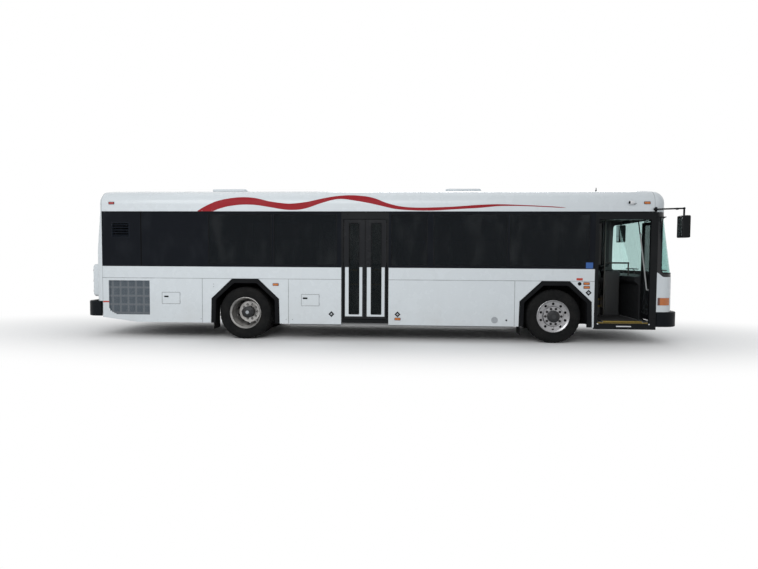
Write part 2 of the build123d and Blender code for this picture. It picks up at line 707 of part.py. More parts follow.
# Floor: low front part, step, raised rear part, bulkhead before the engine, driver's platform
driver_x = front_arch_x + 807
dash_back = front_face - 410
platform_x = (driver_x - 90, dash_back - 20)
platform_nose = platform_side + 170
with BuildPart() as floor:
    riser = (rear_step - bulkhead_thickness, rear_step)
    block((riser[0], front_door_front), (-inner_y, inner_y), (floor_bottom, floor_top))
    block((bulkhead, rear_step), (-inner_y, inner_y), (rear_floor_bottom, rear_floor_top))
    block(riser, (-inner_y, inner_y), (floor_bottom, rear_floor_top))
    middle_step = (floor_top + rear_floor_top) / 2
    block((rear_step, rear_step + step_going), (-inner_y, inner_y), (floor_top, middle_step))
    wall_x = (bulkhead - bulkhead_thickness, bulkhead)
    block(wall_x, (-inner_y, inner_y), (rear_floor_bottom, band_top))
    block(platform_x, (platform_side, inner_y), (floor_top, floor_top + platform_step))
    block(platform_x, (platform_nose, inner_y), (floor_top, platform_top))
    for side in (-1, 1):
        for arch_x, inner in ((front_arch_x, front_housing_inner), (rear_arch_x, rear_housing_inner)):
            room_x = (arch_x - housing_half, arch_x + housing_half)
            room_y = (side * inner, side * half_width)
            block(room_x, room_y, (0, housing_top + housing_wall), Mode.SUBTRACT)
    for x in (ramp_x[0] - ramp_lug - seat_gap, ramp_x[1] + seat_gap):
        lug = (x, x + ramp_lug)
        block(lug, (ramp_hinge_y - ramp_thickness / 2, -inner_y + 10), (floor_top, ramp_z[1]))
        block(lug, (ramp_hinge_y - ramp_thickness / 2, -inner_y), (sill_top, floor_top))
    low = (ramp_x[0] - 30, ramp_hinge_y, ramp_hinge_z)
    rod(low, (ramp_x[1] + 30, ramp_hinge_y, ramp_hinge_z), ramp_pin + pin_clearance, Mode.SUBTRACT)
    for x in front_door_opening:
        boss = (x, shaft_y, low_arm_z[0] - seat_gap)
        rod((x, shaft_y, floor_top - 1), boss, boss_radius)
        rod(boss, (x, shaft_y, low_arm_z[1]), pin_radius)
save(floor, "floor")

# Wheel housings, open below and towards the arches, with mud flaps behind the wheels
rear_housing_foot = 600
housings = (
    # arch's middle, inner face, foot of the shell, foot of the flap
    (front_arch_x, front_housing_inner, floor_bottom, 150),
    (rear_arch_x, rear_housing_inner, rear_housing_foot, 180),
)
with BuildPart() as wheel_housings:
    for side in (-1, 1):
        for arch_x, inner, foot, flap_foot in housings:
            shell_x = (arch_x - housing_half, arch_x + housing_half)
            shell_y = (side * inner, side * inner_y)
            block(shell_x, shell_y, (foot, housing_top + housing_wall))
            hollow_y = (side * (inner + housing_wall), side * (inner_y + 1))
            hollow = (arch_x - housing_room, arch_x + housing_room)
            block(hollow, hollow_y, (foot - 1, housing_top), Mode.SUBTRACT)
            flap_y = (side * (inner_y - 10), side * (inner_y - 350))
            block((shell_x[0], shell_x[0] + flap_thickness), flap_y, (flap_foot, foot + 1))
save(wheel_housings, "wheel_housings")

# Underframe: rails, sills and cross members
low_rail_y = (440, 520)
low_rail_z = (280, floor_bottom)
rear_rail_y = (400, 460)
rear_rail_z = (rear_housing_foot, rear_floor_bottom)
sill_z = (275, floor_bottom)
rail_ends = (bumper_rear + 285, bumper_front - 335)
rail_joint = (rear_step - 80, rear_step - 40)
front_housing_x = (front_arch_x - housing_half, front_arch_x + housing_half)
rear_housing_x = (rear_arch_x - housing_half, rear_arch_x + housing_half)
first_cross = bulkhead + 108
second_cross = rear_housing_x[0] - 68
rear_cross_x = (
    first_cross,
    (first_cross + second_cross) / 2,
    second_cross,
    rear_housing_x[1] + 72,
    rear_step - 200,
)
low_cross_limits = (rear_step + 400, front_axle_x - 975)
low_cross_count = 4
with BuildPart() as underframe:
    for side in (-1, 1):
        low_rail = (side * low_rail_y[0], side * low_rail_y[1])
        block((rail_joint[1], rail_ends[1]), low_rail, low_rail_z)
        rail = (side * rear_rail_y[0], side * rear_rail_y[1])
        block((rail_ends[0], rail_joint[1]), rail, rear_rail_z)
        sill_y = (side * (inner_y - 60), side * inner_y)
        block((rear_housing_x[1] + 212, front_housing_x[0] - 113), sill_y, sill_z)
        block(rail_joint, rail, (low_rail_z[0], rear_rail_z[1]))
        block(rail_joint, low_rail, low_rail_z)
    for x in rear_cross_x:
        block((x - 30, x + 30), (-inner_y, inner_y), (rear_floor_bottom - 60, rear_floor_bottom))
    for n in range(low_cross_count):
        x = low_cross_limits[0] + (low_cross_limits[1] - low_cross_limits[0]) * n / (low_cross_count - 1)
        block((x - 25, x + 25), (-inner_y + 60, inner_y - 60), low_rail_z)
    x = front_housing_x[1] + 187
    block((x - 25, x + 25), (-inner_y + 60, inner_y - 60), low_rail_z)
    x = bumper_front - 610
    block((x - 25, x + 25), (-inner_y, inner_y), low_rail_z)
save(underframe, "underframe")

# Tow eyes on the ends of the rails
eye_radius = 20
eye_plate = 25
tow_plates = (
    # x of the rail's end, x of the tip, plate's middle in Y, low and high Z, x and z of the eye
    (rail_ends[1], bumper_front - 95, 480, (252, 320), bumper_front - 140, 286),
    (rail_ends[0], bumper_rear + 155, 430, (320, 660), bumper_rear + 200, 362),
)
with BuildPart() as tow_eyes:
    for side in (-1, 1):
        for root, tip, middle, rise, eye_x, eye_z in tow_plates:
            y = (side * middle - eye_plate / 2, side * middle + eye_plate / 2)
            block((root, tip), y, rise)
            rod((eye_x, y[0], eye_z), (eye_x, y[1], eye_z), eye_radius, Mode.SUBTRACT)
save(tow_eyes, "tow_eyes")

# Bumpers, bent round the corners
bumper_wall = 90
bumpers = (
    # name, direction, foremost X, rear end X, low and high Z, corner radius
    ("front_bumper", 1, bumper_front, bumper_front - 414, (327, cap_bottom), 260),
    ("rear_bumper", -1, bumper_rear, bumper_rear + 313, (408, rear_cap_bottom), 220),
)
for name, way, tip, root, rise, corner in bumpers:
    back = root - way * corner
    face = tip - way * bumper_wall
    side_y = half_width - 60
    with BuildPart() as bumper:
        block((tip, back), (-half_width, half_width), rise)
        upright = bumper.edges().filter_by(Axis.Z).filter_by(lambda e: abs(e.center().X - tip) < 1)
        fillet(upright, corner)
        level = bumper.faces().filter_by(Axis.Z).edges()
        fillet(level.filter_by(lambda e: way * e.center().X > way * root), 18)
        with BuildSketch(Plane.XY.offset(rise[0] - 1)) as cavity:
            with BuildLine():
                Polyline((back, -side_y), (face, -side_y), (face, side_y), (back, side_y), close=True)
            make_face()
            front_corners = cavity.vertices().filter_by(lambda v: abs(v.X - face) < 1)
            fillet(front_corners, corner - bumper_wall)
        extrude(cavity.sketch, amount=rise[1] - rise[0] + 2, mode=Mode.SUBTRACT)
        block((root, back), whole_width, whole_height, Mode.SUBTRACT)
    save(bumper, name)

# Headlamps, two round lenses a side in a bucket, and red lamps at the rear
lens_pitch = 210
lens_radius = 84
lens_steps = (
    # radius, depth behind the front face at its back and its front
    (lens_radius, 31, 18),
    (lens_radius - 14, 19, 12),
)
with BuildPart() as headlamps:
    for side in (-1, 1):
        middle_y = side * (lamp_y[0] + lamp_y[1]) / 2
        centre_z = (lamp_z[0] + lamp_z[1]) / 2
        block((front_face - wall, front_face - 12), mirrored(side, lamp_y), lamp_z)
        for y in (middle_y - lens_pitch / 2, middle_y + lens_pitch / 2):
            bucket = (front_face - 30, y, centre_z)
            rod(bucket, (front_face, y, centre_z), lens_radius + 8, Mode.SUBTRACT)
            for radius, back, front in lens_steps:
                rod((front_face - back, y, centre_z), (front_face - front, y, centre_z), radius)
save(headlamps, "headlamps")

# Red lamps: clusters beside the engine door, marker lamps on the rear face and high on the sides
cluster_z = (850, 1050, 1250)
cluster_radius = 62
marker_half = (35, 11)
marker_depth = 12
marker_spots = (
    # y, z
    (-965, sign_z[1] - 70),
    (-150, sign_z[1] + 20),
    (0, sign_z[1] + 20),
    (150, sign_z[1] + 20),
    (965, sign_z[1] - 70),
)
side_marker_z = (band_top + 150, band_top + 172)
rear_marker_x = rear_cap_seam + 197
front_marker_x = front_cap_seam - 136
rear_top_x = rear_face + rear_lean
with BuildPart() as red_lamps:
    for side in (-1, 1):
        block((rear_face + 2, rear_face + wall), mirrored(side, rear_lamp_y), rear_lamp_z)
        y = side * (rear_lamp_y[0] + rear_lamp_y[1]) / 2
        for z in cluster_z:
            rod((rear_face + 3, y, z), (rear_face - 14, y, z), cluster_radius)
        high = (rear_marker_x - marker_half[0], rear_marker_x + marker_half[0])
        block(high, depth(side, -marker_depth, -seat_gap), side_marker_z)
    for y, z in marker_spots:
        marker_x = (rear_top_x - marker_depth, rear_top_x - seat_gap)
        high = (z - marker_half[1], z + marker_half[1])
        block(marker_x, (y - marker_half[0], y + marker_half[0]), high)
save(red_lamps, "red_lamps")

# Amber lamps: wrapped round the front corners, marker lamps above the sign and on the sides
corner_lamp_x = (front_face - 290, front_face - 68)
corner_lamp_y = half_width - 130
corner_lamp_z = (717, 849)
corner_lamp_proud = 5
lamp_skin = end_body(1, front_profile, front_edge_radius + corner_lamp_proud, cap_bottom, -corner_lamp_proud)
lamp_back = end_body(1, front_profile, front_edge_radius + seat_gap, cap_bottom - 10, -seat_gap)
with BuildPart() as corner_lamps:
    for side in (-1, 1):
        block(corner_lamp_x, (side * corner_lamp_y, side * body_width), corner_lamp_z)
    add(lamp_skin, mode=Mode.INTERSECT)
    add(lamp_back, mode=Mode.SUBTRACT)
amber_spots = (
    # x, z, half length, half height
    (rear_door_front + 169, 416, 30, 17),
    (rear_axle_x + 595, 1031, 30, 17),
    (front_door_back - 142, 1095, 30, 15),
    (front_door_back - 137, 1026, 30, 15),
    (front_marker_x, (side_marker_z[0] + side_marker_z[1]) / 2, marker_half[0], marker_half[1]),
)
with BuildPart() as amber_lamps:
    add(corner_lamps.part)
    for side in (-1, 1):
        layer = depth(side, -marker_depth, -seat_gap)
        for x, z, half_length, half_height in amber_spots:
            block((x - half_length, x + half_length), layer, (z - half_height, z + half_height))
    for y, z in marker_spots:
        marker_x = (windscreen_top_x + seat_gap, windscreen_top_x + marker_depth)
        high = (z - marker_half[1], z + marker_half[1])
        block(marker_x, (y - marker_half[0], y + marker_half[0]), high)
save(amber_lamps, "amber_lamps")

# Mirrors on arms from the front cap's corners
mirror_x = (bumper_front - 155, bumper_front - 15)
mirror_y = (half_width + 90, half_width + 320)
mirror_z = (band_top - 462, band_top - 78)
mirror_edge = 22
mirror_arm_z = band_top + 46
mirror_elbow = (bumper_front - 85, half_width + 205)
mirror_pad_x = (front_cap_seam + 3, front_cap_seam + 21)
with BuildPart() as mirrors:
    for side in (-1, 1):
        block(mirror_x, mirrored(side, mirror_y), mirror_z)
    fillet(mirrors.edges(), mirror_edge)
    for side in (-1, 1):
        glass_y = mirrored(side, (mirror_y[0] + mirror_edge + 2, mirror_y[1] - mirror_edge - 2))
        glass_z = (mirror_z[0] + mirror_edge + 2, mirror_z[1] - mirror_edge - 2)
        block((mirror_x[0] - 1, mirror_x[0] + 6), glass_y, glass_z, Mode.SUBTRACT)
        pad_z = (mirror_arm_z - 35, mirror_arm_z + 35)
        block(mirror_pad_x, (side * half_width, side * (half_width + 14)), pad_z)
        pad_x = (mirror_pad_x[0] + mirror_pad_x[1]) / 2
        elbow = (mirror_elbow[0], side * mirror_elbow[1], mirror_arm_z)
        rod((pad_x, side * (half_width + 16), mirror_arm_z), elbow, 14)
        with Locations(elbow):
            Sphere(22)
        rod(elbow, (elbow[0], elbow[1], mirror_z[1] - 2), 16)
save(mirrors, "mirrors")

# Engine block, fuel tank and propeller shaft
engine_face = bulkhead - bulkhead_thickness
engine_shaft_z = axle_z + 70
pinion_reach = 240
flange_radius = 70
with BuildPart() as engine:
    engine_y = (-rear_rail_y[0], rear_rail_y[0])
    block((rail_ends[0] + 50, engine_face), engine_y, (480, 1180))
save(engine, "engine")
with BuildPart() as fuel_tank:
    tank_x = (rear_axle_x + 750, rear_step - 90)
    block(tank_x, (-rear_rail_y[0], rear_rail_y[0]), (400, rear_rail_z[0] + 70))
    fillet(fuel_tank.edges().filter_by(Axis.Y), 60)
save(fuel_tank, "fuel_tank")
with BuildPart() as propeller_shaft:
    pinion_face = rear_axle_x - pinion_reach
    rod((engine_face, 0, engine_shaft_z), (engine_face + 22, 0, engine_shaft_z), flange_radius)
    rod((pinion_face - 22, 0, axle_z), (pinion_face, 0, axle_z), flange_radius)
    rod((engine_face + 12, 0, engine_shaft_z), (pinion_face - 12, 0, axle_z), 50)
save(propeller_shaft, "propeller_shaft")

# Rear axle: tube, bowl, spring beams and spindle ends inside the hubs
spring_seat_z = axle_z + 10
axle_bowl = (
    # distance from the middle, radius
    (-170, 0),
    (-170, 90),
    (-110, bowl_radius - 30),
    (-45, bowl_radius),
    (45, bowl_radius),
    (110, bowl_radius - 30),
    (170, 90),
    (170, 0),
)
with BuildPart() as rear_axle:
    tube_end = rear_housing_inner
    rod((rear_axle_x, -tube_end, axle_z), (rear_axle_x, tube_end, axle_z), 75)
    turned(axle_bowl, rear_axle_x, 0, 1)
    rod((rear_axle_x - pinion_reach, 0, axle_z), (rear_axle_x, 0, axle_z), 90)
    spindle_end = wheel_centre_y - 102
    rod((rear_axle_x, -spindle_end, axle_z), (rear_axle_x, spindle_end, axle_z), spindle_radius)
    for side in (-1, 1):
        beam_x = (rear_axle_x - spring_reach - 70, rear_axle_x + spring_reach + 70)
        beam_y = (side * (rear_spring_y - 50), side * (rear_spring_y + 50))
        block(beam_x, beam_y, (spring_seat_z - 60, spring_seat_z))
        stop_y = (side * (rear_rail_y[0] - 20), side * (rear_rail_y[1] + 20))
        block((rear_axle_x - 60, rear_axle_x + 60), stop_y, (axle_z + 40, rear_rail_z[0]))
save(rear_axle, "rear_axle")

# Front axle beam, dropped below the floor, with a kingpin eye at each end
eye_z = (axle_z + eye_height[0], axle_z + eye_height[1])
beam_line = (
    # distance from the middle, low Z, high Z
    (0, 170, 270),
    (kingpin_y - 310, 170, 270),
    (kingpin_y - 200, eye_z[0], eye_z[1]),
    (kingpin_y, eye_z[0], eye_z[1]),
)
kingpin_radius = 25
with BuildPart() as front_axle:
    below = [(y, low) for y, low, high in beam_line]
    above = [(y, high) for y, low, high in reversed(beam_line)]
    mirror_below = [(-y, low) for y, low, high in reversed(beam_line[1:])]
    mirror_above = [(-y, high) for y, low, high in beam_line[1:]]
    outline = mirror_below + below + above + mirror_above
    prism_x(outline, (front_axle_x - beam_half, front_axle_x + beam_half))
    for side in (-1, 1):
        foot = (front_axle_x, side * kingpin_y, eye_z[0])
        head = (front_axle_x, side * kingpin_y, eye_z[1])
        rod(foot, head, beam_half)
        rod(foot, head, kingpin_radius + pin_clearance, Mode.SUBTRACT)
save(front_axle, "front_axle")

# Air springs between axles and body
with BuildPart() as air_springs:
    for side in (-1, 1):
        front_y = side * (kingpin_y - 160)
        rod((front_axle_x, front_y, eye_z[1]), (front_axle_x, front_y, housing_top), 75)
        for x in (rear_axle_x - spring_reach, rear_axle_x + spring_reach):
            rod((x, side * rear_spring_y, spring_seat_z), (x, side * rear_spring_y, rear_floor_bottom), 105)
save(air_springs, "air_springs")

# Knuckles: clevis round the kingpin eye, and the spindle that the hub turns on
knuckle_plate = 30
for name, side in SIDES:
    pin_y = side * kingpin_y
    web_x = (front_axle_x - 50, front_axle_x + 50)
    low_plate = (eye_z[0] - knuckle_plate, eye_z[0] - seat_gap)
    high_plate = (eye_z[1] + seat_gap, eye_z[1] + knuckle_plate)
    with BuildPart() as knuckle:
        foot = (front_axle_x, pin_y, low_plate[0] - 10)
        rod(foot, (front_axle_x, pin_y, high_plate[1] + 10), kingpin_radius)
        for plate in (low_plate, high_plate):
            rod((front_axle_x, pin_y, plate[0]), (front_axle_x, pin_y, plate[1]), beam_half)
            block(web_x, (pin_y, side * (kingpin_y + 100)), plate)
        web_y = (side * (kingpin_y + 60), side * (kingpin_y + 100))
        block(web_x, web_y, (low_plate[0], high_plate[1]))
        root = (front_axle_x, side * (kingpin_y + 90), axle_z)
        rod(root, (front_axle_x, side * (wheel_centre_y + 88), axle_z), spindle_radius)
    save(knuckle, f"knuckle_{name}")


def tyre_body(x, y, side):
    """Tyre on the axis of a wheel, its shoulders and sidewalls rounded."""
    half = tyre_width / 2
    with BuildSketch(Plane(origin=(x, y, axle_z), x_dir=(0, side, 0), z_dir=(1, 0, 0))) as section:
        with BuildLine():
            FilletPolyline(
                (-half + 35, bead_radius),
                (-half, bead_radius + 45),
                (-half, tyre_radius - 70),
                (-half + 28, tyre_radius),
                (half - 28, tyre_radius),
                (half, tyre_radius - 70),
                (half, bead_radius + 45),
                (half - 35, bead_radius),
                radius=25,
            )
            Line((half - 35, bead_radius), (-half + 35, bead_radius))
        make_face()
    revolve(section.sketch, axis=Axis((x, y, axle_z), (0, 1, 0)))


# Rim sections as (outboard distance from the tyre's middle, radius), outer line then inner line
flange = bead_radius + 12
half_rim = tyre_width / 2 - 32
front_rim = (
    (-half_rim - 12, flange),
    (-half_rim, bead_radius),
    (half_rim, bead_radius),
    (half_rim + 12, flange),
    (half_rim + 16, flange - 8),
    (half_rim + 2, bead_radius - 24),
    (half_rim - 10, 190),
    (half_rim + 22, 176),
    (half_rim + 22, hub_radius),
    (half_rim - 2, hub_radius),
    (half_rim - 2, 172),
    (half_rim - 34, 190),
    (half_rim - 26, bead_radius - 24),
    (-half_rim, bead_radius - 20),
    (-half_rim - 14, flange - 8),
)
rear_disc = -half_rim - 44
rear_rim = (
    (-half_rim - 12, flange),
    (-half_rim, bead_radius),
    (half_rim, bead_radius),
    (half_rim + 12, flange),
    (half_rim + 16, flange - 8),
    (half_rim - 10, bead_radius - 20),
    (-half_rim + 20, bead_radius - 36),
    (rear_disc, 200),
    (rear_disc, hub_radius),
    (rear_disc - 11.5, hub_radius),
    (rear_disc - 11.5, 205),
    (-half_rim + 2, bead_radius - 24),
    (-half_rim - 14, flange - 8),
)


def ring_places(x, radius, half_turn):
    """Places in X and Z of the holes or nuts round a wheel, half_turn of a pitch on from level."""
    places = []
    for number in range(stud_count):
        angle = 2 * pi * (number + half_turn) / stud_count
        places.append((x + radius * cos(angle), axle_z + radius * sin(angle)))
    return places


nut_radius = 17
front_hole = (228, 24)
rear_hole = (224, 26)
hub_bore = spindle_radius + pin_clearance
for name, side in SIDES:
    y = side * wheel_centre_y
    with BuildPart() as tyre:
        tyre_body(front_axle_x, y, side)
    save(tyre, f"front_tyre_{name}")
    with BuildPart() as wheel:
        turned(front_rim, front_axle_x, y, side)
        for x, z in ring_places(front_axle_x, front_hole[0], 0.5):
            rod((x, y, z), (x, y + side * (half_rim + 37), z), front_hole[1], Mode.SUBTRACT)
        for x, z in ring_places(front_axle_x, stud_circle / 2, 0):
            rod((x, y + side * (half_rim + 20), z), (x, y + side * (half_rim + 46), z), nut_radius)
        front_hub = (
            (-20, hub_bore),
            (-20, 95),
            (half_rim - 4, 95),
            (half_rim - 4, hub_radius),
            (half_rim + 60, hub_radius),
            (half_rim + 72, 60),
            (half_rim + 72, 0),
            (half_rim + 10, 0),
            (half_rim + 10, hub_bore),
        )
        turned(front_hub, front_axle_x, y, side)
    save(wheel, f"front_wheel_{name}")
    with BuildPart() as tyres:
        for offset in (0, -twin_spacing):
            tyre_body(rear_axle_x, y + side * offset, side)
    save(tyres, f"rear_tyres_{name}")
    with BuildPart() as wheels:
        turned(rear_rim, rear_axle_x, y, side)
        turned(rear_rim, rear_axle_x, y - side * twin_spacing, -side)
        for x, z in ring_places(rear_axle_x, rear_hole[0], 0.5):
            inner_end = (x, y - side * (twin_spacing - 17), z)
            rod(inner_end, (x, y - side * 20, z), rear_hole[1], Mode.SUBTRACT)
        for x, z in ring_places(rear_axle_x, stud_circle / 2, 0):
            rod((x, y + side * (rear_disc - 2), z), (x, y + side * (rear_disc + 32), z), nut_radius)
        rear_hub = (
            (-twin_spacing + 20, hub_bore),
            (-twin_spacing + 20, hub_radius),
            (rear_disc + 150, hub_radius),
            (rear_disc + 165, 60),
            (rear_disc + 165, 0),
            (-90, 0),
            (-90, hub_bore),
        )
        turned(rear_hub, rear_axle_x, y, side)
    save(wheels, f"rear_wheels_{name}")

# Passenger seats: moulded pairs in rows, on the floor that carries them
seat_width = 840
seat_pitch = 780
last_seat_x = front_housing_x[0] - 470
seat_rows = [
    # side, x of the back's foot, floor height, height of the leg's foot
    (1, bulkhead + 158, rear_floor_top, rear_floor_top),
    (1, rear_axle_x - 1040, rear_floor_top, rear_floor_top),
    (1, rear_axle_x - 190, rear_floor_top, housing_top + housing_wall),
    (1, rear_axle_x + 660, rear_floor_top, rear_floor_top),
]
seat_rows += [(-1, x, base, foot) for side, x, base, foot in seat_rows]
for side, first_x in ((1, rear_step + 520), (-1, rear_door_front + 239)):
    for number in range(int((last_seat_x - first_x) / seat_pitch) + 1):
        seat_rows.append((side, first_x + number * seat_pitch, floor_top, floor_top))
seat_shell = (
    # distance ahead of the back's foot, height above the floor
    (0, 400),
    (440, 430),
    (445, 395),
    (60, 350),
    (-40, 380),
    (-130, 1050),
    (-95, 1055),
)
with BuildPart() as passenger_seats:
    for side, x, base, foot in seat_rows:
        seat_y = (side * (inner_y - 5), side * (inner_y - 5 - seat_width))
        prism_y([(x + ahead, base + height) for ahead, height in seat_shell], seat_y, 12)
        middle_y = (seat_y[0] + seat_y[1]) / 2
        slot_z = (base + 500, base + 1100)
        block((x - 200, x + 20), (middle_y - 10, middle_y + 10), slot_z, Mode.SUBTRACT)
        leg_y = (side * (inner_y - 300), side * (inner_y - 340))
        block((x + 120, x + 300), leg_y, (foot, base + 385))
        rail_y = (side * (inner_y - 5), side * inner_y)
        block((x + 100, x + 300), rail_y, (base + 360, base + 390))
save(passenger_seats, "passenger_seats")

# Driver's place
driver_y = (500, 980)
with BuildPart() as driver_seat:
    base = platform_top
    cushion = [(80, 310), (540, 340), (550, 430), (80, 410)]
    prism_y([(driver_x + x, base + z) for x, z in cushion], driver_y, 35)
    backrest = [(50, 360), (160, 380), (90, 960), (0, 960)]
    prism_y([(driver_x + x, base + z) for x, z in backrest], driver_y, 40)
    block((driver_x + 160, driver_x + 460), (driver_y[0] + 100, driver_y[1] - 100), (base, base + 350))
save(driver_seat, "driver_seat")

# Dashboard behind the windscreen, with the steering column
wheel_tilt = 28
wheel_hub = (front_face - 670, (driver_y[0] + driver_y[1]) / 2, platform_top + 640)
wheel_rim_radius = 228
rim_tube = 14
column_way = Vector(-sin(radians(wheel_tilt)), 0, cos(radians(wheel_tilt)))
hub_point = Vector(*wheel_hub)
dash_y = (-inner_y + 510, inner_y - 150)
dash_top = windscreen_foot + 16
dash_brow = 170
dash_reach = 490
dash_fall = 40
dash_line = (
    # x from the front face, z
    (-180, cap_bottom + 4),
    (-80, 700),
    (-80, dash_top - 70),
    (-dash_brow, dash_top),
    (-dash_reach, dash_top - dash_fall),
    (-dash_reach, dash_top - 3 * dash_fall),
    (-410, dash_top - 190),
    (-410, cap_bottom + 4),
)
with BuildPart() as dashboard:
    prism_y([(front_face + x, z) for x, z in dash_line], dash_y)
    fillet(dashboard.edges().filter_by(Axis.Y).group_by(Axis.Z)[-1], 30)
    block((dash_back, front_door_front), dash_y, (floor_top, cap_bottom + 5))
    top = hub_point - column_way * (40 + seat_gap)
    length = (top.Z - platform_top) / column_way.Z
    rod(tuple(top - column_way * length), tuple(top), 32)
save(dashboard, "dashboard")

with BuildPart() as steering_wheel:
    wheel_plane = Plane(origin=wheel_hub, x_dir=(0, 1, 0), z_dir=column_way)
    with BuildSketch(Plane(origin=wheel_hub, x_dir=column_way, z_dir=wheel_plane.y_dir)) as ring:
        with Locations((0, wheel_rim_radius)):
            Circle(rim_tube)
    revolve(ring.sketch, axis=Axis(wheel_hub, column_way))
    rod(tuple(hub_point - column_way * 40), tuple(hub_point + column_way * 10), 45)
    for angle in (90, 210, 330):
        spoke = wheel_plane.x_dir * cos(radians(angle)) + wheel_plane.y_dir * sin(radians(angle))
        rod(tuple(hub_point - column_way * 12), tuple(hub_point + spoke * wheel_rim_radius), 10)
save(steering_wheel, "steering_wheel")

farebox_x = (dash_back - 400, dash_back - 100)
farebox_y = (platform_side - 285, platform_side - 25)
with BuildPart() as farebox:
    block(farebox_x, farebox_y, (floor_top, floor_top + 900))
    fillet(farebox.edges().filter_by(Axis.Z), 25)
    fillet(farebox.faces().sort_by(Axis.Z)[-1].edges(), 12)
save(farebox, "farebox")

# Handrails: a rail below the ceiling on each side of the aisle with posts down to the floor,
# and a rail from a post beside the farebox to the dashboard
rail_radius = 16
rail_y = 385
rail_height = roof_height - 955
rail_runs = (
    # side, from x, to x, floor height, number of posts
    (-1, bulkhead + 208, rear_step - 150, rear_floor_top, 3),
    (1, bulkhead + 208, rear_step - 150, rear_floor_top, 3),
    (-1, rear_door_front + 159, front_housing_x[0] - 173, floor_top, 3),
    (1, rear_door_back + 31, front_housing_x[0] - 173, floor_top, 4),
)
fare_post = (farebox_x[0] - 24, farebox_y[0] - 45)
fare_rail_z = floor_top + 1060
fare_rail_x = dash_back + 40
dash_slope = dash_fall / (dash_reach - dash_brow)
fare_foot_z = dash_top - (front_face - dash_brow - fare_rail_x - rail_radius) * dash_slope + seat_gap
with BuildPart() as handrails:
    for side, low, high, base, count in rail_runs:
        y = side * rail_y
        rod((low, y, rail_height), (high, y, rail_height), rail_radius)
        for number in range(count):
            x = low + rail_radius + (high - low - 2 * rail_radius) * number / (count - 1)
            rod((x, y, base), (x, y, roof_inner_z(rail_y + rail_radius)), rail_radius)
    x, y = fare_post
    rod((x, y, floor_top), (x, y, roof_inner_z(rail_radius - y)), rail_radius)
    rod((x, y, fare_rail_z), (fare_rail_x, y, fare_rail_z), rail_radius)
    with Locations((fare_rail_x, y, fare_rail_z)):
        Sphere(rail_radius + 3)
    rod((fare_rail_x, y, fare_rail_z), (fare_rail_x, y, fare_foot_z), rail_radius - 2)
save(handrails, "handrails")

# Wipers lying across the foot of the windscreen
blade_z = windscreen_foot + 111
blade_y = (330, 1000)
blade_radius = 9
pivot_y = 300
pivot_z = windscreen_foot - 44
slope = windscreen_lean / (windscreen_head - windscreen_foot)
blade_x = front_face - (blade_z - windscreen_foot) * slope - glass_inset + blade_radius + 2 * seat_gap
with BuildPart() as wipers:
    for side in (-1, 1):
        middle_y = side * (blade_y[0] + blade_y[1]) / 2
        rod((front_face, side * pivot_y, pivot_z), (front_face + 28, side * pivot_y, pivot_z), 20)
        rod((front_face + 18, side * pivot_y, pivot_z), (blade_x + 8, middle_y, blade_z), 7)
        rod((blade_x, side * blade_y[0], blade_z), (blade_x, side * blade_y[1], blade_z), blade_radius)
save(wipers, "wipers")
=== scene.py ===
import math
import bmesh
import bpy
import numpy as np
from mathutils import Matrix, Vector


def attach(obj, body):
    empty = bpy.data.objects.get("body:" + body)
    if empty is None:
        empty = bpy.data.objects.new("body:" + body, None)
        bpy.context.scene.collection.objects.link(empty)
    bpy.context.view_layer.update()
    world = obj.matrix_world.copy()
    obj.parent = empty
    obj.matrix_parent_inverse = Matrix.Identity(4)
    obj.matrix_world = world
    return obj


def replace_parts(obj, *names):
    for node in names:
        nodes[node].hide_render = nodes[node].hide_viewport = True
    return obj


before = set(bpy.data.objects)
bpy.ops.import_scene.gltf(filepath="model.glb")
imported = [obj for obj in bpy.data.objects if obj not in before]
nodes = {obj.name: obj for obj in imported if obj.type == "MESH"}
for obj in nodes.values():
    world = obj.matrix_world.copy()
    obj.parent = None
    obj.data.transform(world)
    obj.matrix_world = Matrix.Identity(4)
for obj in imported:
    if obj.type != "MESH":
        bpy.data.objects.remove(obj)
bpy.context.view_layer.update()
scene = bpy.context.scene
scene.view_settings.view_transform = "Standard"

# Places on the body, in metres, as in the CAD
HALF = 1.295
ROOF_CORNER = 0.23
CROWN = 6.0
ROOF_TOP = 2.855
CORNER_Y = HALF - ROOF_CORNER
CORNER_Z = ROOF_TOP - CROWN + math.sqrt((CROWN - ROOF_CORNER) ** 2 - CORNER_Y**2)
CAP_SEAMS = (-5.132, 4.992)
PANEL_JOINT = -4.375
AXLE_Z = 0.49
REAR_AXLE = -2.41
FRONT_AXLE = 3.275
WHEEL_Y = 1.102
TWIN = 0.337
CABIN_MIDDLE = (0, 0, 1.6)
SIDES = (("right", -1), ("left", 1))
X, Z = Vector((1, 0, 0)), Vector((0, 0, 1))


def linked(name, data):
    """New object in the scene."""
    piece = bpy.data.objects.new(name, data)
    scene.collection.objects.link(piece)
    return piece


def polar(radius, degrees):
    angle = math.radians(degrees)
    return radius * math.cos(angle), radius * math.sin(angle)


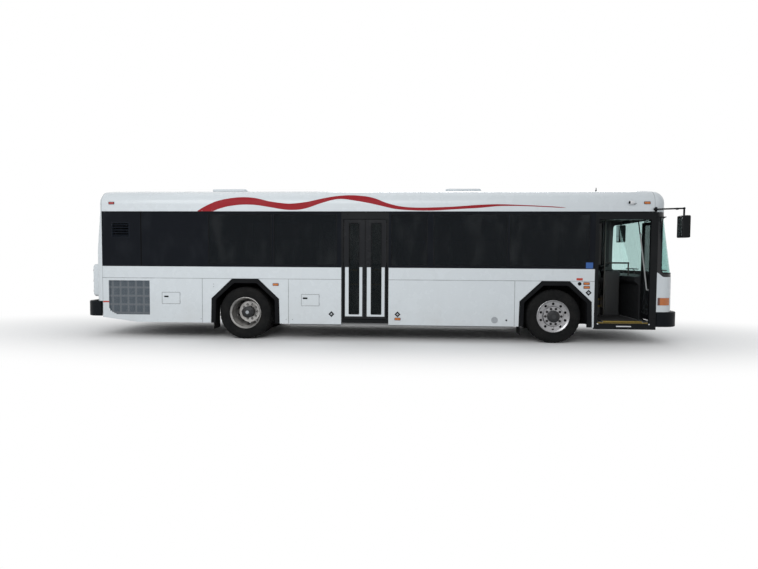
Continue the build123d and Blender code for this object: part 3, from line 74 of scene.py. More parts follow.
class Finish:
    """A node material with a Principled shader and short calls for its textures."""

    def __init__(self, name, **sockets):
        self.material = bpy.data.materials.new(name)
        self.material.use_nodes = True
        self.tree = self.material.node_tree
        self.shader = self.tree.nodes["Principled BSDF"]
        self.set(self.shader, sockets)
        coordinates = self.node("TexCoord").outputs
        self.place, self.normal = coordinates["Object"], coordinates["Normal"]
        self.x, self.y, self.z = self.node("SeparateXYZ", Vector=self.place).outputs

    def node(self, kind, **inputs):
        node = self.tree.nodes.new("ShaderNode" + kind)
        self.set(node, inputs)
        return node

    def set(self, node, inputs):
        self.feed([node.inputs[key.replace("_", " ")] for key in inputs], inputs.values())

    def link(self, source, target):
        self.tree.links.new(source, target)

    def into(self, socket, source):
        self.link(source, self.shader.inputs[socket])

    def feed(self, targets, values):
        """Link or set each input; a colour gets its fourth number."""
        for target, value in zip(targets, values):
            if isinstance(value, bpy.types.NodeSocket):
                self.link(value, target)
            elif isinstance(value, tuple) and len(target.default_value) == 4:
                target.default_value = (*value, 1)
            else:
                target.default_value = value

    def math(self, operation, *values):
        node = self.node("Math")
        node.operation = operation
        self.feed(node.inputs, values)
        return node.outputs[0]

    def both(self, first, second):
        return self.math("MULTIPLY", first, second)

    def either(self, first, second):
        return self.math("MAXIMUM", first, second)

    def plus(self, first, second):
        return self.math("ADD", first, second)

    def less(self, first, second):
        return self.math("SUBTRACT", first, second)

    def spread(self, source, low, high, to_low=0, to_high=1):
        """Smooth rise from to_low to to_high as source goes from low to high."""
        node = self.node("MapRange")
        node.interpolation_type = "SMOOTHSTEP"
        self.feed(node.inputs, (source, low, high, to_low, to_high))
        return node.outputs[0]

    def noise(self, scale, detail=4, stretch=(1, 1, 1)):
        mapping = self.node("Mapping", Vector=self.place, Scale=stretch)
        inputs = {"Vector": mapping.outputs[0], "Scale": scale, "Detail": detail, "Roughness": 0.55}
        return self.node("TexNoise", **inputs).outputs[0]

    def cells(self, scale):
        return self.node("TexVoronoi", Vector=self.place, Scale=scale).outputs["Distance"]

    def ripple(self, source, pitch, shift=0):
        """Sine wave from 0 to 1 along source, one cycle to each pitch."""
        turns = self.math("MULTIPLY_ADD", source, 2 * math.pi / pitch, shift)
        return self.math("MULTIPLY_ADD", self.math("SINE", turns), 0.5, 0.5)

    def mix(self, factor, first, second):
        node = self.node("Mix")
        node.data_type = "RGBA"
        self.feed((node.inputs[0], node.inputs[6], node.inputs[7]), (factor, first, second))
        return node.outputs[2]

    def colour(self):
        """What feeds the base colour now."""
        return self.shader.inputs["Base Color"].links[0].from_socket

    def base(self, factor, first, second):
        self.into("Base Color", self.mix(factor, first, second))

    def over(self, factor, second):
        """Lay another colour over the base colour."""
        self.base(factor, self.colour(), second)

    def rough(self, scale, detail, low, high):
        self.into("Roughness", self.spread(self.noise(scale, detail), 0.3, 0.7, low, high))

    def band(self, source, low, high, soft=0.001):
        """1 between low and high, 0 outside."""
        rise = self.spread(source, low - soft, low + soft)
        fall = self.spread(source, high - soft, high + soft, 1, 0)
        return self.both(rise, fall)

    def area(self, back, front, foot, head):
        """1 inside a rectangle of x and z."""
        return self.both(self.band(self.x, back, front), self.band(self.z, foot, head))

    def bump(self, height, distance, strength):
        node = self.node("Bump", Strength=strength, Distance=distance, Height=height)
        for link in self.shader.inputs["Normal"].links:
            self.link(link.from_socket, node.inputs["Normal"])
        self.into("Normal", node.outputs[0])

    def grain(self, scale, detail, distance, strength):
        self.bump(self.noise(scale, detail), distance, strength)

    def outside(self):
        """1 where the surface faces away from the middle of the cabin."""
        middle, facing = self.node("VectorMath"), self.node("VectorMath")
        middle.operation, facing.operation = "SUBTRACT", "DOT_PRODUCT"
        self.feed(middle.inputs, (self.place, CABIN_MIDDLE))
        self.feed(facing.inputs, (middle.outputs[0], self.normal))
        return self.math("GREATER_THAN", facing.outputs["Value"], 0)


EVEN = (1, 1, 1)
WHITE = (0.6, 0.64, 0.665)
LINING = (0.17, 0.18, 0.18)
BLACK = (0.006, 0.007, 0.009)
YELLOW = (0.28, 0.2, 0.055)


def darker(colour, share):
    return tuple(share * c for c in colour)


def surface(name, patches, colours, rough, grains, **sockets):
    """Two colours mixed by patches of noise, with uneven gloss and a grain.

    patches: scale, detail, stretch, then the limits of the spread; rough: scale, detail, low, high;
    each grain: scale, detail, distance, strength.
    """
    mat = Finish(name, **sockets)
    scale, detail, stretch, *limits = patches
    mat.patches = mat.spread(mat.noise(scale, detail, stretch), *limits)
    mat.base(mat.patches, *colours)
    mat.rough(*rough)
    for grain in grains:
        mat.grain(*grain)
    return mat


def painted(name, colour, grime=0.35, gloss=0.24, pale=0.1):
    """Coach enamel: slight waviness, dust towards the skirts, faint vertical streaks."""
    mat = Finish(name, Coat_Weight=0.15, Coat_Roughness=0.1, Specular_IOR_Level=0.3)
    low = mat.spread(mat.z, 0.3, 0.95, 1, 0)
    patches = mat.noise(2.2, 6)
    dust = mat.both(low, mat.spread(patches, 0.35, 0.75))
    streaks = mat.spread(mat.noise(7, 4, (1, 1, 0.08)), 0.5, 0.8)
    dust = mat.plus(mat.both(dust, grime), mat.both(streaks, 0.1))
    dirt = tuple(0.62 * c + pale for c in colour)
    shade = mat.mix(mat.noise(0.8, 2), colour, darker(colour, 0.95))
    mat.base(dust, shade, (dirt[0], dirt[1] * 0.97, dirt[2] * 0.92))
    rough = mat.spread(mat.noise(5, 5), 0.3, 0.7, gloss - 0.04, gloss + 0.07)
    mat.into("Roughness", mat.plus(rough, mat.both(dust, 0.3)))
    mat.grain(1.6, 2, 0.006, 0.25)
    mat.grain(260, 2, 0.0004, 0.15)
    return mat


def shell_paint(name, mask=None):
    """White outside and lining inside, with a dark mask where given."""
    mat = painted(name, WHITE)
    if mask:
        mat.over(mask(mat), BLACK)
    # Darker bands at the cap seams: painted shade of the seam grooves, with some dirt
    for x in CAP_SEAMS:
        mat.over(mat.both(mat.band(mat.x, x - 0.005, x + 0.005, 0.003), 0.4), BLACK)
    speckle = mat.mix(mat.spread(mat.noise(180, 3), 0.45, 0.6), LINING, darker(LINING, 0.8))
    mat.base(mat.outside(), speckle, mat.colour())
    return mat


def screen_mask(mat):
    """Black surround of the windscreen and sign on the front cap, its lower rear corner rounded."""
    side = mat.math("ABSOLUTE", mat.y)
    back = mat.spread(mat.x, 5.05, 5.185, 0.082, 0)
    line = mat.plus(back, 1.222)
    above = mat.spread(mat.less(mat.z, line), -0.002, 0.002)
    screen = mat.both(above, mat.spread(mat.z, 2.372, 2.376, 1, 0))
    sign = mat.both(mat.band(mat.z, 2.34, 2.64), mat.spread(side, 0.858, 0.862, 1, 0))
    return mat.either(screen, mat.both(sign, mat.spread(mat.x, 5.05, 5.1)))


def seam_shade_and_dirt(mat):
    """Darker lines along the seams of the side panels and round their flush doors: painted shade of the seam
    grooves, with some dirt in them.
    """
    below = mat.spread(mat.z, 1.134, 1.136, 1, 0)
    lines = mat.band(mat.z, 1.13, 1.14, 0.003)
    for x in (REAR_AXLE - 0.798, REAR_AXLE + 0.835, FRONT_AXLE - 0.709):
        lines = mat.either(lines, mat.both(below, mat.band(mat.x, x - 0.005, x + 0.005, 0.003)))
    for back, front, foot, head in ((-3.982, -3.637, 0.654, 0.869), (-1.335, -1.002, 0.641, 0.853)):
        whole, room = (mat.area(back - d, front + d, foot - d, head + d) for d in (0.004, -0.005))
        lines = mat.either(lines, mat.less(whole, room))
    return mat.both(lines, mat.spread(mat.noise(3, 3), 0.2, 0.7, 0.3, 0.6))


def leaf_paint():
    """Rear door leaf: white panel below the windows between black edges."""
    mat = painted("rear_leaf_paint", BLACK, 0.05, 0.22, 0.012)
    mat.set(mat.shader, {"Specular IOR Level": 0.12})
    stiles = mat.either(mat.band(mat.x, -0.521, -0.203), mat.band(mat.x, -0.118, 0.208))
    panel = mat.both(mat.band(mat.z, 0.455, 1.361), mat.both(stiles, mat.outside()))
    white = mat.mix(mat.noise(0.8, 2), WHITE, darker(WHITE, 0.95))
    mat.over(panel, white)
    return mat


def gloss_black():
    """Window band: glossy black with the joint of the rear panel, grey towards the cabin."""
    mat = surface(
        "gloss_black", (3, 6, (1, 1, 0.5), 0.45, 0.8, 0, 0.22),
        ((0.0045, 0.006, 0.009), (0.028, 0.031, 0.036)),
        (9, 4, 0.07, 0.17), ((1.3, 2, 0.004, 0.2),), Specular_IOR_Level=0.08,
    )
    joint = mat.band(mat.x, PANEL_JOINT - 0.009, PANEL_JOINT + 0.009, 0.002)
    mat.over(joint, (0.0004, 0.0004, 0.0004))
    mat.over(mat.less(1, mat.outside()), (0.1, 0.1, 0.105))
    return mat


STREAKS = (4, 6, (1, 1, 0.4), 0.45, 0.85, 0)


def glass(name, tint, alpha, specular=0.4):
    """Tinted pane: streaks of dust over a see-through tint."""
    mat = surface(
        name, (*STREAKS, 0.06), (tint, (0.24, 0.25, 0.25)), (12, 3, 0.02, 0.07), ((1.1, 1, 0.003, 0.15),),
        Specular_IOR_Level=specular, IOR=1.5,
    )
    mat.into("Alpha", mat.plus(mat.patches, alpha))
    return mat


def windscreen_glass():
    """Green laminated pane that light passes through, with a little dust on it."""
    return surface(
        "windscreen_tint", (*STREAKS, 0.1), ((0.5, 0.71, 0.68), (0.42, 0.51, 0.5)),
        (12, 3, 0, 0.03), ((1.1, 1, 0.002, 0.1),),
        Transmission_Weight=1, IOR=1.45, Specular_IOR_Level=0.4,
    )


def moulded(name, colour, rough=0.5, grain=420, depth=0.0006, dust=0.25, specular=0.08):
    """Grained plastic or rubber with dust lying on it."""
    pale = tuple(min(1, c * 0.9 + 0.016) for c in colour)
    return surface(
        name, (3.5, 6, EVEN, 0.4, 0.75, 0, dust), (colour, pale), (14, 4, rough - 0.08, rough + 0.1),
        ((grain, 3, depth, 0.5), (6, 2, 0.002, 0.2)), Specular_IOR_Level=specular,
    )


def metal(name, colour, rough=0.3, stain=0.25, stain_colour=(0.1, 0.09, 0.08), metallic=1):
    return surface(
        name, (9, 8, EVEN, 0.48, 0.75, 0, stain), (colour, stain_colour),
        (30, 5, rough - 0.06, rough + 0.14), ((220, 3, 0.0003, 0.3),), Metallic=metallic,
    )


def stripe_red():
    mat = painted("stripe_red", (0.27, 0.014, 0.02), 0.05, 0.42)
    mat.set(mat.shader, {"Coat Weight": 0, "Specular IOR Level": 0.12})
    return mat


def wheel_metal(name, colour, rough, stain, axle):
    """Rim and disc of one axle's wheels, dark over the hub."""
    mat = metal(name, colour, rough, stain)
    out = mat.less(mat.x, axle)
    up = mat.less(mat.z, AXLE_Z)
    reach = mat.math("SQRT", mat.plus(mat.both(out, out), mat.both(up, up)))
    mat.over(mat.spread(reach, 0.109, 0.112, 0.9, 0), (0.022, 0.024, 0.026))
    return mat


def lens(name, colour):
    """Ribbed lamp lens."""
    mat = Finish(name, Specular_IOR_Level=0.5, Roughness=0.12, Coat_Weight=0.4, Coat_Roughness=0.05)
    ribs = mat.ripple(mat.z, 0.0085)
    deep = darker(colour, 0.5)
    mat.base(mat.spread(ribs, 0.2, 0.8), deep, colour)
    corner = mat.both(mat.band(mat.x, 5.02, 5.118), mat.spread(mat.z, 1.2, 1.3, 1, 0))
    mat.over(corner, (0.1, 0.022, 0.012))
    mat.bump(ribs, 0.002, 0.4)
    return mat


def headlamp_glass():
    """Clear lenses over a bright bowl, in a dark bucket."""
    sockets = {"Specular IOR Level": 0.5, "Roughness": 0.1, "Coat Weight": 0.5, "Coat Roughness": 0.04}
    mat = Finish("headlamp_glass", **sockets)
    flutes = mat.ripple(mat.y, 0.012)
    clear = mat.mix(flutes, (0.42, 0.44, 0.46), (0.66, 0.68, 0.7))
    face = mat.spread(mat.x, 5.3505, 5.3515)
    mat.base(face, (0.03, 0.031, 0.033), clear)
    mat.over(mat.both(face, mat.spread(mat.x, 5.357, 5.3575)), clear)
    mat.bump(flutes, 0.0015, 0.5)
    return mat


def floor_covering():
    mat = Finish("floor_covering", Specular_IOR_Level=0.3)
    specks = mat.spread(mat.cells(240), 0.2, 0.45)
    colour = mat.mix(specks, (0.2, 0.205, 0.21), (0.1, 0.103, 0.107))
    sill = mat.both(mat.band(mat.z, 0.372, 0.4005), mat.band(mat.y, -1.3, -1.235))
    worn = mat.mix(mat.spread(mat.noise(20, 4), 0.4, 0.8), YELLOW, (0.2, 0.155, 0.06))
    mat.base(sill, colour, worn)
    mat.rough(18, 4, 0.5, 0.7)
    mat.bump(mat.cells(320), 0.0008, 0.5)
    return mat


def tyre_rubber():
    return surface(
        "tyre_rubber", (5, 7, EVEN, 0.35, 0.75, 0.05, 0.55),
        ((0.0065, 0.007, 0.0075), (0.019, 0.018, 0.017)),
        (22, 5, 0.68, 0.88), ((300, 4, 0.0008, 0.5),), Specular_IOR_Level=0.08,
    )


def filter_mesh():
    """Grey woven screen on its ribs, and the black louvre above it."""
    mat = Finish("filter_mesh", Specular_IOR_Level=0.08)
    fine = mat.cells(170)
    blotch = mat.spread(mat.noise(9, 7), 0.35, 0.7)
    lint = mat.mix(blotch, (0.125, 0.145, 0.165), (0.185, 0.2, 0.215))
    weave = mat.mix(mat.spread(fine, 0.2, 0.5), lint, (0.075, 0.09, 0.105))
    # Lighter lines over the ribs: painted light on the ribs behind the screen, against the shade of the
    # hollows between them
    across = mat.spread(mat.ripple(mat.x, 0.15, 1.2), 0.75, 1, 0, 0.35)
    up = mat.spread(mat.ripple(mat.z, 0.161, 2), 0.75, 1, 0, 0.35)
    lit_rib_lines = mat.either(across, up)
    mat.base(lit_rib_lines, weave, (0.225, 0.235, 0.245))
    mat.over(mat.spread(mat.z, 1.4, 1.41), (0.006, 0.008, 0.012))
    mat.into("Roughness", mat.spread(blotch, 0, 1, 0.55, 0.8))
    mat.bump(fine, 0.002, 0.6)
    return mat


def chassis_coat():
    """Black undercoat, with bare grey sills along the skirts."""
    mat = moulded("chassis_coat", (0.013, 0.013, 0.014), 0.7, 120, 0.002, 0.5)
    sill = mat.spread(mat.math("ABSOLUTE", mat.y), 1.187, 1.189)
    mat.over(mat.both(sill, mat.spread(mat.z, 0.36, 0.38, 1, 0)), (0.27, 0.275, 0.275))
    return mat


def ramp_grit():
    """Black grit with a yellow edge along the hinge."""
    mat = moulded("ramp_grit", (0.045, 0.045, 0.046), 0.8, 700, 0.002, 0.3)
    edge = mat.spread(mat.y, -1.182, -1.178, 1, 0)
    mat.over(edge, mat.mix(mat.spread(mat.noise(20, 4), 0.4, 0.8), YELLOW, (0.3, 0.22, 0.05)))
    return mat


def front_leaf():
    """Black frame with a bare metal grab bar."""
    mat = moulded("front_leaf_trim", (0.006, 0.0065, 0.0075), 0.35, 500, 0.0002, 0.25)
    mat.over(mat.area(4.016, 4.962, 0.6, 2.15), (0.34, 0.35, 0.35))
    return mat


def sign_matrix():
    """Unlit rows of dots behind the sign glass."""
    mat = Finish("sign_matrix", Specular_IOR_Level=0.2, Roughness=0.5)
    across = mat.ripple(mat.plus(mat.x, mat.y), 0.0125)
    dots = mat.spread(mat.both(across, mat.ripple(mat.z, 0.0125)), 0.55, 0.75)
    mat.base(dots, (0.006, 0.006, 0.007), (0.03, 0.022, 0.01))
    mat.bump(dots, 0.0006, 0.4)
    return mat


def seat_cloth():
    """Woven seat cover with sewn channels across the cushion."""
    mat = Finish("seat_cloth", Specular_IOR_Level=0.15, Sheen_Weight=0.3, Sheen_Roughness=0.5)
    weave = mat.both(mat.ripple(mat.y, 0.0045), mat.ripple(mat.plus(mat.x, mat.z), 0.0045))
    flecks = mat.spread(mat.noise(90, 3), 0.5, 0.62)
    cloth = mat.mix(weave, (0.02, 0.024, 0.034), (0.05, 0.056, 0.072))
    mat.base(mat.both(flecks, 0.5), cloth, (0.11, 0.12, 0.15))
    mat.rough(30, 4, 0.78, 0.92)
    mat.bump(weave, 0.0012, 0.6)
    channels = mat.spread(mat.ripple(mat.y, 0.12), 0, 0.06)
    mat.bump(channels, 0.006, 0.7)
    return mat


M = {
    "white": painted("body_white", WHITE),
    "shell": shell_paint("body_shell"),
    "cap": shell_paint("front_cap_paint", screen_mask),
    "panel": shell_paint("side_panel_paint", seam_shade_and_dirt),
    "leaf": leaf_paint(),
    "red": stripe_red(),
    "black": gloss_black(),
    "dark_glass": glass("side_glass_tint", (0.004, 0.006, 0.008), 0.86, 0.1),
    "clear_glass": windscreen_glass(),
    "rear_door_glass": glass("rear_door_tint", (0.006, 0.009, 0.01), 0.62, 0.1),
    "door_glass": glass("door_glass_tint", (0.02, 0.024, 0.026), 0.55, 0.3),
    "rubber": moulded("black_rubber", (0.004, 0.0045, 0.0055), 0.5, dust=0.18),
    "bumper": moulded("bumper_skin", (0.004, 0.0055, 0.0075), 0.42, 300, 0.0008, 0.22),
    "frame_black": moulded("frame_black", (0.004, 0.005, 0.006), 0.35, 500, 0.0002, 0.15, 0.12),
    "front_leaf": front_leaf(),
    "tyre": tyre_rubber(),
    "aluminium": wheel_metal("polished_aluminium", (0.29, 0.29, 0.3), 0.3, 0.35, FRONT_AXLE),
    # Rear wheels' metal lighter than the front's: a dull finish, and painted light against the shade in the
    # deep dish
    "dull_aluminium": wheel_metal("dull_aluminium", (0.42, 0.415, 0.405), 0.34, 0.45, REAR_AXLE),
    "steel": metal("bare_steel", (0.26, 0.26, 0.27), 0.42, 0.5),
    "rail": metal("rail_steel", (0.1, 0.1, 0.095), 0.42, 0.3),
    "hub": metal("hub_iron", (0.018, 0.019, 0.021), 0.45, 0.5, (0.035, 0.03, 0.027), 0.5),
    "nut": metal("nut_iron", (0.012, 0.012, 0.014), 0.5, 0.5, (0.03, 0.026, 0.022), 0.5),
    "undercoat": moulded("undercoat", (0.012, 0.012, 0.013), 0.7, 120, 0.002, 0.45),
    "chassis": chassis_coat(),
    "axle": metal("axle_paint", (0.035, 0.035, 0.037), 0.55, 0.6, (0.12, 0.1, 0.08), 0.3),
    "filter": filter_mesh(),
    "floor": floor_covering(),
    "amber": lens("amber_lens", (0.6, 0.155, 0.014)),
    "red_lens": lens("red_lens", (0.42, 0.012, 0.015)),
    "lamp_glass": headlamp_glass(),
    "stainless": metal("stainless", (0.55, 0.55, 0.56), 0.34, 0.1),
    "seat": moulded("seat_shell", (0.045, 0.06, 0.1), 0.42, 260, 0.0005, 0.15),
    "cloth": seat_cloth(),
    "dash": moulded("dashboard_skin", (0.024, 0.025, 0.027), 0.6, 240, 0.001, 0.2),
    "farebox": metal("farebox_steel", (0.055, 0.058, 0.06), 0.4, 0.1, metallic=0.6),
    "engine": metal("engine_paint", (0.1, 0.1, 0.11), 0.55, 0.6, (0.06, 0.05, 0.04), 0.2),
    "tank": metal("tank_aluminium", (0.5, 0.5, 0.51), 0.4, 0.5),
    "ramp": ramp_grit(),
    "sign": sign_matrix(),
    "mirror": metal("mirror_glass", (0.3, 0.32, 0.33), 0.06, 0.05),
    "yellow": moulded("safety_yellow", YELLOW, 0.55, 90, 0.001, 0.5),
    "bare_blue": moulded("blank_blue_plate", (0.05, 0.12, 0.33), 0.3, 200, 0.0002, 0.2),
    "bare_red": moulded("blank_red_plate", (0.45, 0.07, 0.05), 0.4, 200, 0.0002, 0.2),
    "bare_white": moulded("white_plastic", (0.66, 0.67, 0.68), 0.4, 200, 0.0003, 0.2),
    "grey": moulded("grey_plastic", (0.34, 0.36, 0.38), 0.45, 200, 0.0004, 0.3),
    "light": moulded("light_panel", (0.7, 0.7, 0.68), 0.4, 200, 0.0002, 0.1),
}

# Each finish with the starts of the CAD nodes' names that it goes to; the longest start decides
FINISH_NODES = {
    "white": "roof_hatch engine_door", "shell": "roof rear_cap", "cap": "front_cap",
    "clear_glass": "windscreen", "panel": "side_panels", "black": "window_frames",
    "dark_glass": "side_glass", "filter": "grilles", "rubber": "arch_trims air_springs",
    "frame_black": "door_frames front_door_arm mirrors steering_wheel wipers",
    "leaf": "rear_door_leaf", "rear_door_glass": "rear_door_glass",
    "front_leaf": "front_door_leaf", "door_glass": "front_door_glass", "ramp": "ramp",
    "floor": "floor", "undercoat": "wheel_housings", "chassis": "underframe",
    "axle": "tow_eyes propeller_shaft rear_axle front_axle knuckle",
    "bumper": "front_bumper rear_bumper", "lamp_glass": "headlamps", "red_lens": "red_lamps",
    "amber": "amber_lamps", "engine": "engine", "tank": "fuel_tank",
    "tyre": "front_tyre rear_tyres", "aluminium": "front_wheel", "dull_aluminium": "rear_wheels",
    "seat": "passenger_seats", "dash": "driver_seat dashboard", "sign": "sign_boxes",
    "farebox": "farebox", "rail": "handrails",
}
starts = {word: key for key, words in FINISH_NODES.items() for word in words.split()}
for name, node in nodes.items():
    word = max((word for word in starts if name.startswith(word)), key=len)
    node.data.materials.clear()
    node.data.materials.append(M[starts[word]].material)


def ring(middle, first, second, radius, count, shift=0):
    """Points on a circle in the plane of two directions."""
    turns = (polar(radius, 360 * (k + shift) / count) for k in range(count))
    return [middle + first * a + second * b for a, b in turns]


class Shape:
    """Vertices and faces gathered into one mesh."""

    def __init__(self):
        self.verts = []
        self.faces = []
        self.marks = []

    def add(self, verts, faces, mark=0):
        start = len(self.verts)
        self.verts.extend(tuple(v) for v in verts)
        self.faces.extend(tuple(start + i for i in face) for face in faces)
        self.marks.extend([mark] * len(faces))

    def strip(self, rows, mark=0, closed=False, around=False, ends=False):
        """Faces between rows; closed joins the last to the first, around a row's ends, ends fills both."""
        count = len(rows[0])
        verts = [point for row in rows for point in row]
        faces = []
        for r in range(len(rows) if closed else len(rows) - 1):
            here, there = r * count, (r + 1) % len(rows) * count
            for c in range(count if around else count - 1):
                d = (c + 1) % count
                faces.append((here + c, here + d, there + d, there + c))
        if ends:
            faces.append(tuple(reversed(range(count))))
            faces.append(tuple(len(verts) - count + c for c in range(count)))
        self.add(verts, faces, mark)

    def slab(self, low, high, mark=0, edge=0.002):
        """Box with its edges taken off, between two opposite corners."""
        low, high = Vector(map(min, low, high)), Vector(map(max, low, high))
        edge = min(edge, 0.45 * min(high - low))
        outline = []
        corners = ((low, low, 1, 1), (high, low, -1, 1), (high, high, -1, -1), (low, high, 1, -1))
        for x, y, dx, dy in ((a.x, b.y, dx, dy) for a, b, dx, dy in corners):
            first, second = (x + dx * edge, y), (x, y + dy * edge)
            outline += [second, first] if dx == dy else [first, second]
        middle, size = (low + high) / 2, high - low
        fit_x, fit_y = 1 - 2 * edge / size.x, 1 - 2 * edge / size.y
        shrink = [(middle.x + (x - middle.x) * fit_x, middle.y + (y - middle.y) * fit_y) for x, y in outline]
        levels = ((shrink, low.z), (outline, low.z + edge), (outline, high.z - edge), (shrink, high.z))
        rows = [[(x, y, z) for x, y in line] for line, z in levels]
        self.strip(rows, mark, around=True, ends=True)

    def lathe(self, origin, axis, profile, segments=32, mark=0):
        """Closed solid turned about an axis from points of (distance along, radius)."""
        axis = Vector(axis).normalized()
        across = axis.orthogonal().normalized()
        up = axis.cross(across)
        middles = [Vector(origin) + axis * along for along, radius in profile]
        rows = [ring(m, across, up, radius, segments, 0.5) for m, (along, radius) in zip(middles, profile)]
        self.strip(rows, mark, around=True, ends=True)

    def tube(self, points, radius, segments=10, mark=0, closed=False):
        """Round bar along points."""
        points = [Vector(p) for p in points]
        count = len(points)
        rows = []
        normal = None
        for i, point in enumerate(points):
            after, before = ((i + 1) % count, i - 1) if closed else (min(i + 1, count - 1), max(i - 1, 0))
            ahead = (points[after] - points[before]).normalized()
            normal = ahead.orthogonal() if normal is None else normal - ahead * normal.dot(ahead)
            normal.normalize()
            rows.append(ring(point, normal, ahead.cross(normal), radius, segments))
        self.strip(rows, mark, closed=closed, around=True, ends=not closed)

    def hoop(self, outer, inner, place, near, far, mark=0):
        """Flat ring between two outlines, from one depth to another."""
        rows = []
        for a, b in zip(outer, inner):
            rows.append([place(*a, near), place(*a, far), place(*b, far), place(*b, near)])
        self.strip(rows, mark, closed=True, around=True)

    def plate(self, outline, place, near, far, mark=0, edge=0.0015):
        """Flat plate with its outer edge taken off."""
        middle = [sum(p[i] for p in outline) / len(outline) for i in (0, 1)]
        reach = max(math.dist(p, middle) for p in outline)
        inner = [tuple(m + (c - m) * (1 - edge / reach) for c, m in zip(p, middle)) for p in outline]
        step = math.copysign(min(edge, abs(far - near) / 2), far - near)
        levels = ((outline, near), (outline, far - step), (inner, far))
        rows = [[place(*p, depth) for p in line] for line, depth in levels]
        self.strip(rows, mark, around=True, ends=True)

    def dome(self, centre, way, radius, height, mark=0, segments=8):
        """Rivet or button head."""
        profile = [(0, radius), (0.6 * height, 0.82 * radius), (height, 0.35 * radius)]
        self.lathe(centre, way, profile, segments, mark)

    def make(self, name, finishes, body="body", smooth=32):
        mesh = bpy.data.meshes.new(name)
        mesh.from_pydata([tuple(v) for v in self.verts], [], self.faces)
        for key in finishes.split():
            mesh.materials.append(M[key].material)
        mesh.polygons.foreach_set("material_index", self.marks)
        work = bmesh.new()
        work.from_mesh(mesh)
        bmesh.ops.recalc_face_normals(work, faces=work.faces)
        work.to_mesh(mesh)
        work.free()
        piece = linked(name, mesh)
        mesh.shade_smooth()
        mesh.set_sharp_from_angle(angle=math.radians(smooth))
        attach(piece, body)
        return piece


def rounded(x0, x1, z0, z1, radius, count=5):
    """Outline of a rectangle with round corners."""
    points = []
    low_x, high_x, low_z, high_z = x0 + radius, x1 - radius, z0 + radius, z1 - radius
    for number, (x, z) in enumerate(((high_x, high_z), (low_x, high_z), (low_x, low_z), (high_x, low_z))):
        for k in range(count + 1):
            dx, dz = polar(radius, 90 * (number + k / count))
            points.append((x + dx, z + dz))
    return points


def inset(x0, x1, z0, z1, radius, by):
    """Round outline drawn in by a distance, or out where it is negative."""
    return rounded(x0 + by, x1 - by, z0 + by, z1 - by, radius)


def circle(x, z, radius, count=32):
    return [(x + dx, z + dz) for dx, dz in (polar(radius, 360 * k / count) for k in range(count))]


def beside(side):
    """Places on the body's flat side, from x, z and the distance outwards."""
    return lambda x, z, proud: Vector((x, side * (HALF + proud), z))


def across(x0, way=-1):
    """Places on a wall across the bus, from y, z and the distance out from x0."""
    return lambda y, z, proud: Vector((x0 + way * proud, y, z))


def solids(node):
    """Lowest and highest corners of each separate solid in a CAD node."""
    mesh = nodes[node].data
    place = {}
    ids = [place.setdefault(tuple(round(c, 5) for c in v.co), len(place)) for v in mesh.vertices]
    root = list(range(len(place)))

    def top(i):
        while root[i] != i:
            root[i] = root[root[i]]
            i = root[i]
        return i

    for a, b in mesh.edge_keys:
        root[top(ids[a])] = top(ids[b])
    groups = {}
    for point, i in place.items():
        groups.setdefault(top(i), []).append(point)
    return [(Vector(map(min, *g)), Vector(map(max, *g))) for g in groups.values()]


def on_side(x, height, side, proud=0):
    """Point on the body's side; above the corner's foot, height runs on along its arc."""
    if height <= CORNER_Z:
        return Vector((x, side * (HALF + proud), height))
    dy, dz = polar(ROOF_CORNER + proud, math.degrees((height - CORNER_Z) / ROOF_CORNER))
    return Vector((x, side * (CORNER_Y + dy), CORNER_Z + dz))


def on_roof(x, y, proud=0):
    """Point on the crown of the roof."""
    reach = CROWN + proud
    angle = math.asin(y / CROWN)
    return Vector((x, reach * math.sin(angle), ROOF_TOP - CROWN + reach * math.cos(angle)))


def curve_through(table, x):
    """Height at x on a smooth line through a table of (x, height), in millimetres."""
    table = [(a / 1000, b / 1000) for a, b in table]
    last = len(table) - 1
    k = max(1, min(last - 1, sum(1 for a, b in table if a < x)))
    four = [table[max(0, min(k + i, last))] for i in (-2, -1, 0, 1)]
    (xm, ym), (x0, y0), (x1, y1), (x2, y2) = four
    h = x1 - x0
    t = (x - x0) / h
    m0, m1 = (y1 - ym) / (x1 - xm) * h, (y2 - y0) / (x2 - x0) * h
    start = (2 * t**3 - 3 * t**2 + 1) * y0 + (t**3 - 2 * t**2 + t) * m0
    return start + (3 * t**2 - 2 * t**3) * y1 + (t**3 - t**2) * m1


# Red wave over the windows on both sides
WAVE_TOP = (
    (-3285, 2392), (-3163, 2464), (-3039, 2523), (-2919, 2572), (-2680, 2628), (-2440, 2652),
    (-2194, 2632), (-1947, 2571), (-1707, 2535), (-1543, 2524), (-1374, 2537), (-1207, 2561),
    (-1020, 2603), (-789, 2656), (-602, 2686), (-391, 2696), (-131, 2665), (36, 2618),
    (200, 2549), (386, 2494), (572, 2463), (804, 2451), (1081, 2454), (1425, 2467),
    (1654, 2483), (1922, 2501), (2250, 2511), (2724, 2495), (3065, 2479), (3292, 2466), (3440, 2451),
)
WAVE_FOOT = (
    (-3285, 2384), (-3163, 2378), (-3004, 2381), (-2918, 2416), (-2795, 2453), (-2674, 2480),
    (-2431, 2506), (-2188, 2499), (-1947, 2464), (-1707, 2423), (-1562, 2409), (-1374, 2414), (-1207, 2449),
    (-1018, 2515), (-784, 2585), (-643, 2611), (-503, 2605), (-314, 2573), (-79, 2532),
    (153, 2480), (387, 2427), (620, 2406), (850, 2397), (1081, 2398), (1425, 2417),
    (1655, 2431), (1923, 2447), (2250, 2477), (2496, 2481), (2724, 2477), (3065, 2463),
    (3292, 2451), (3440, 2447),
)
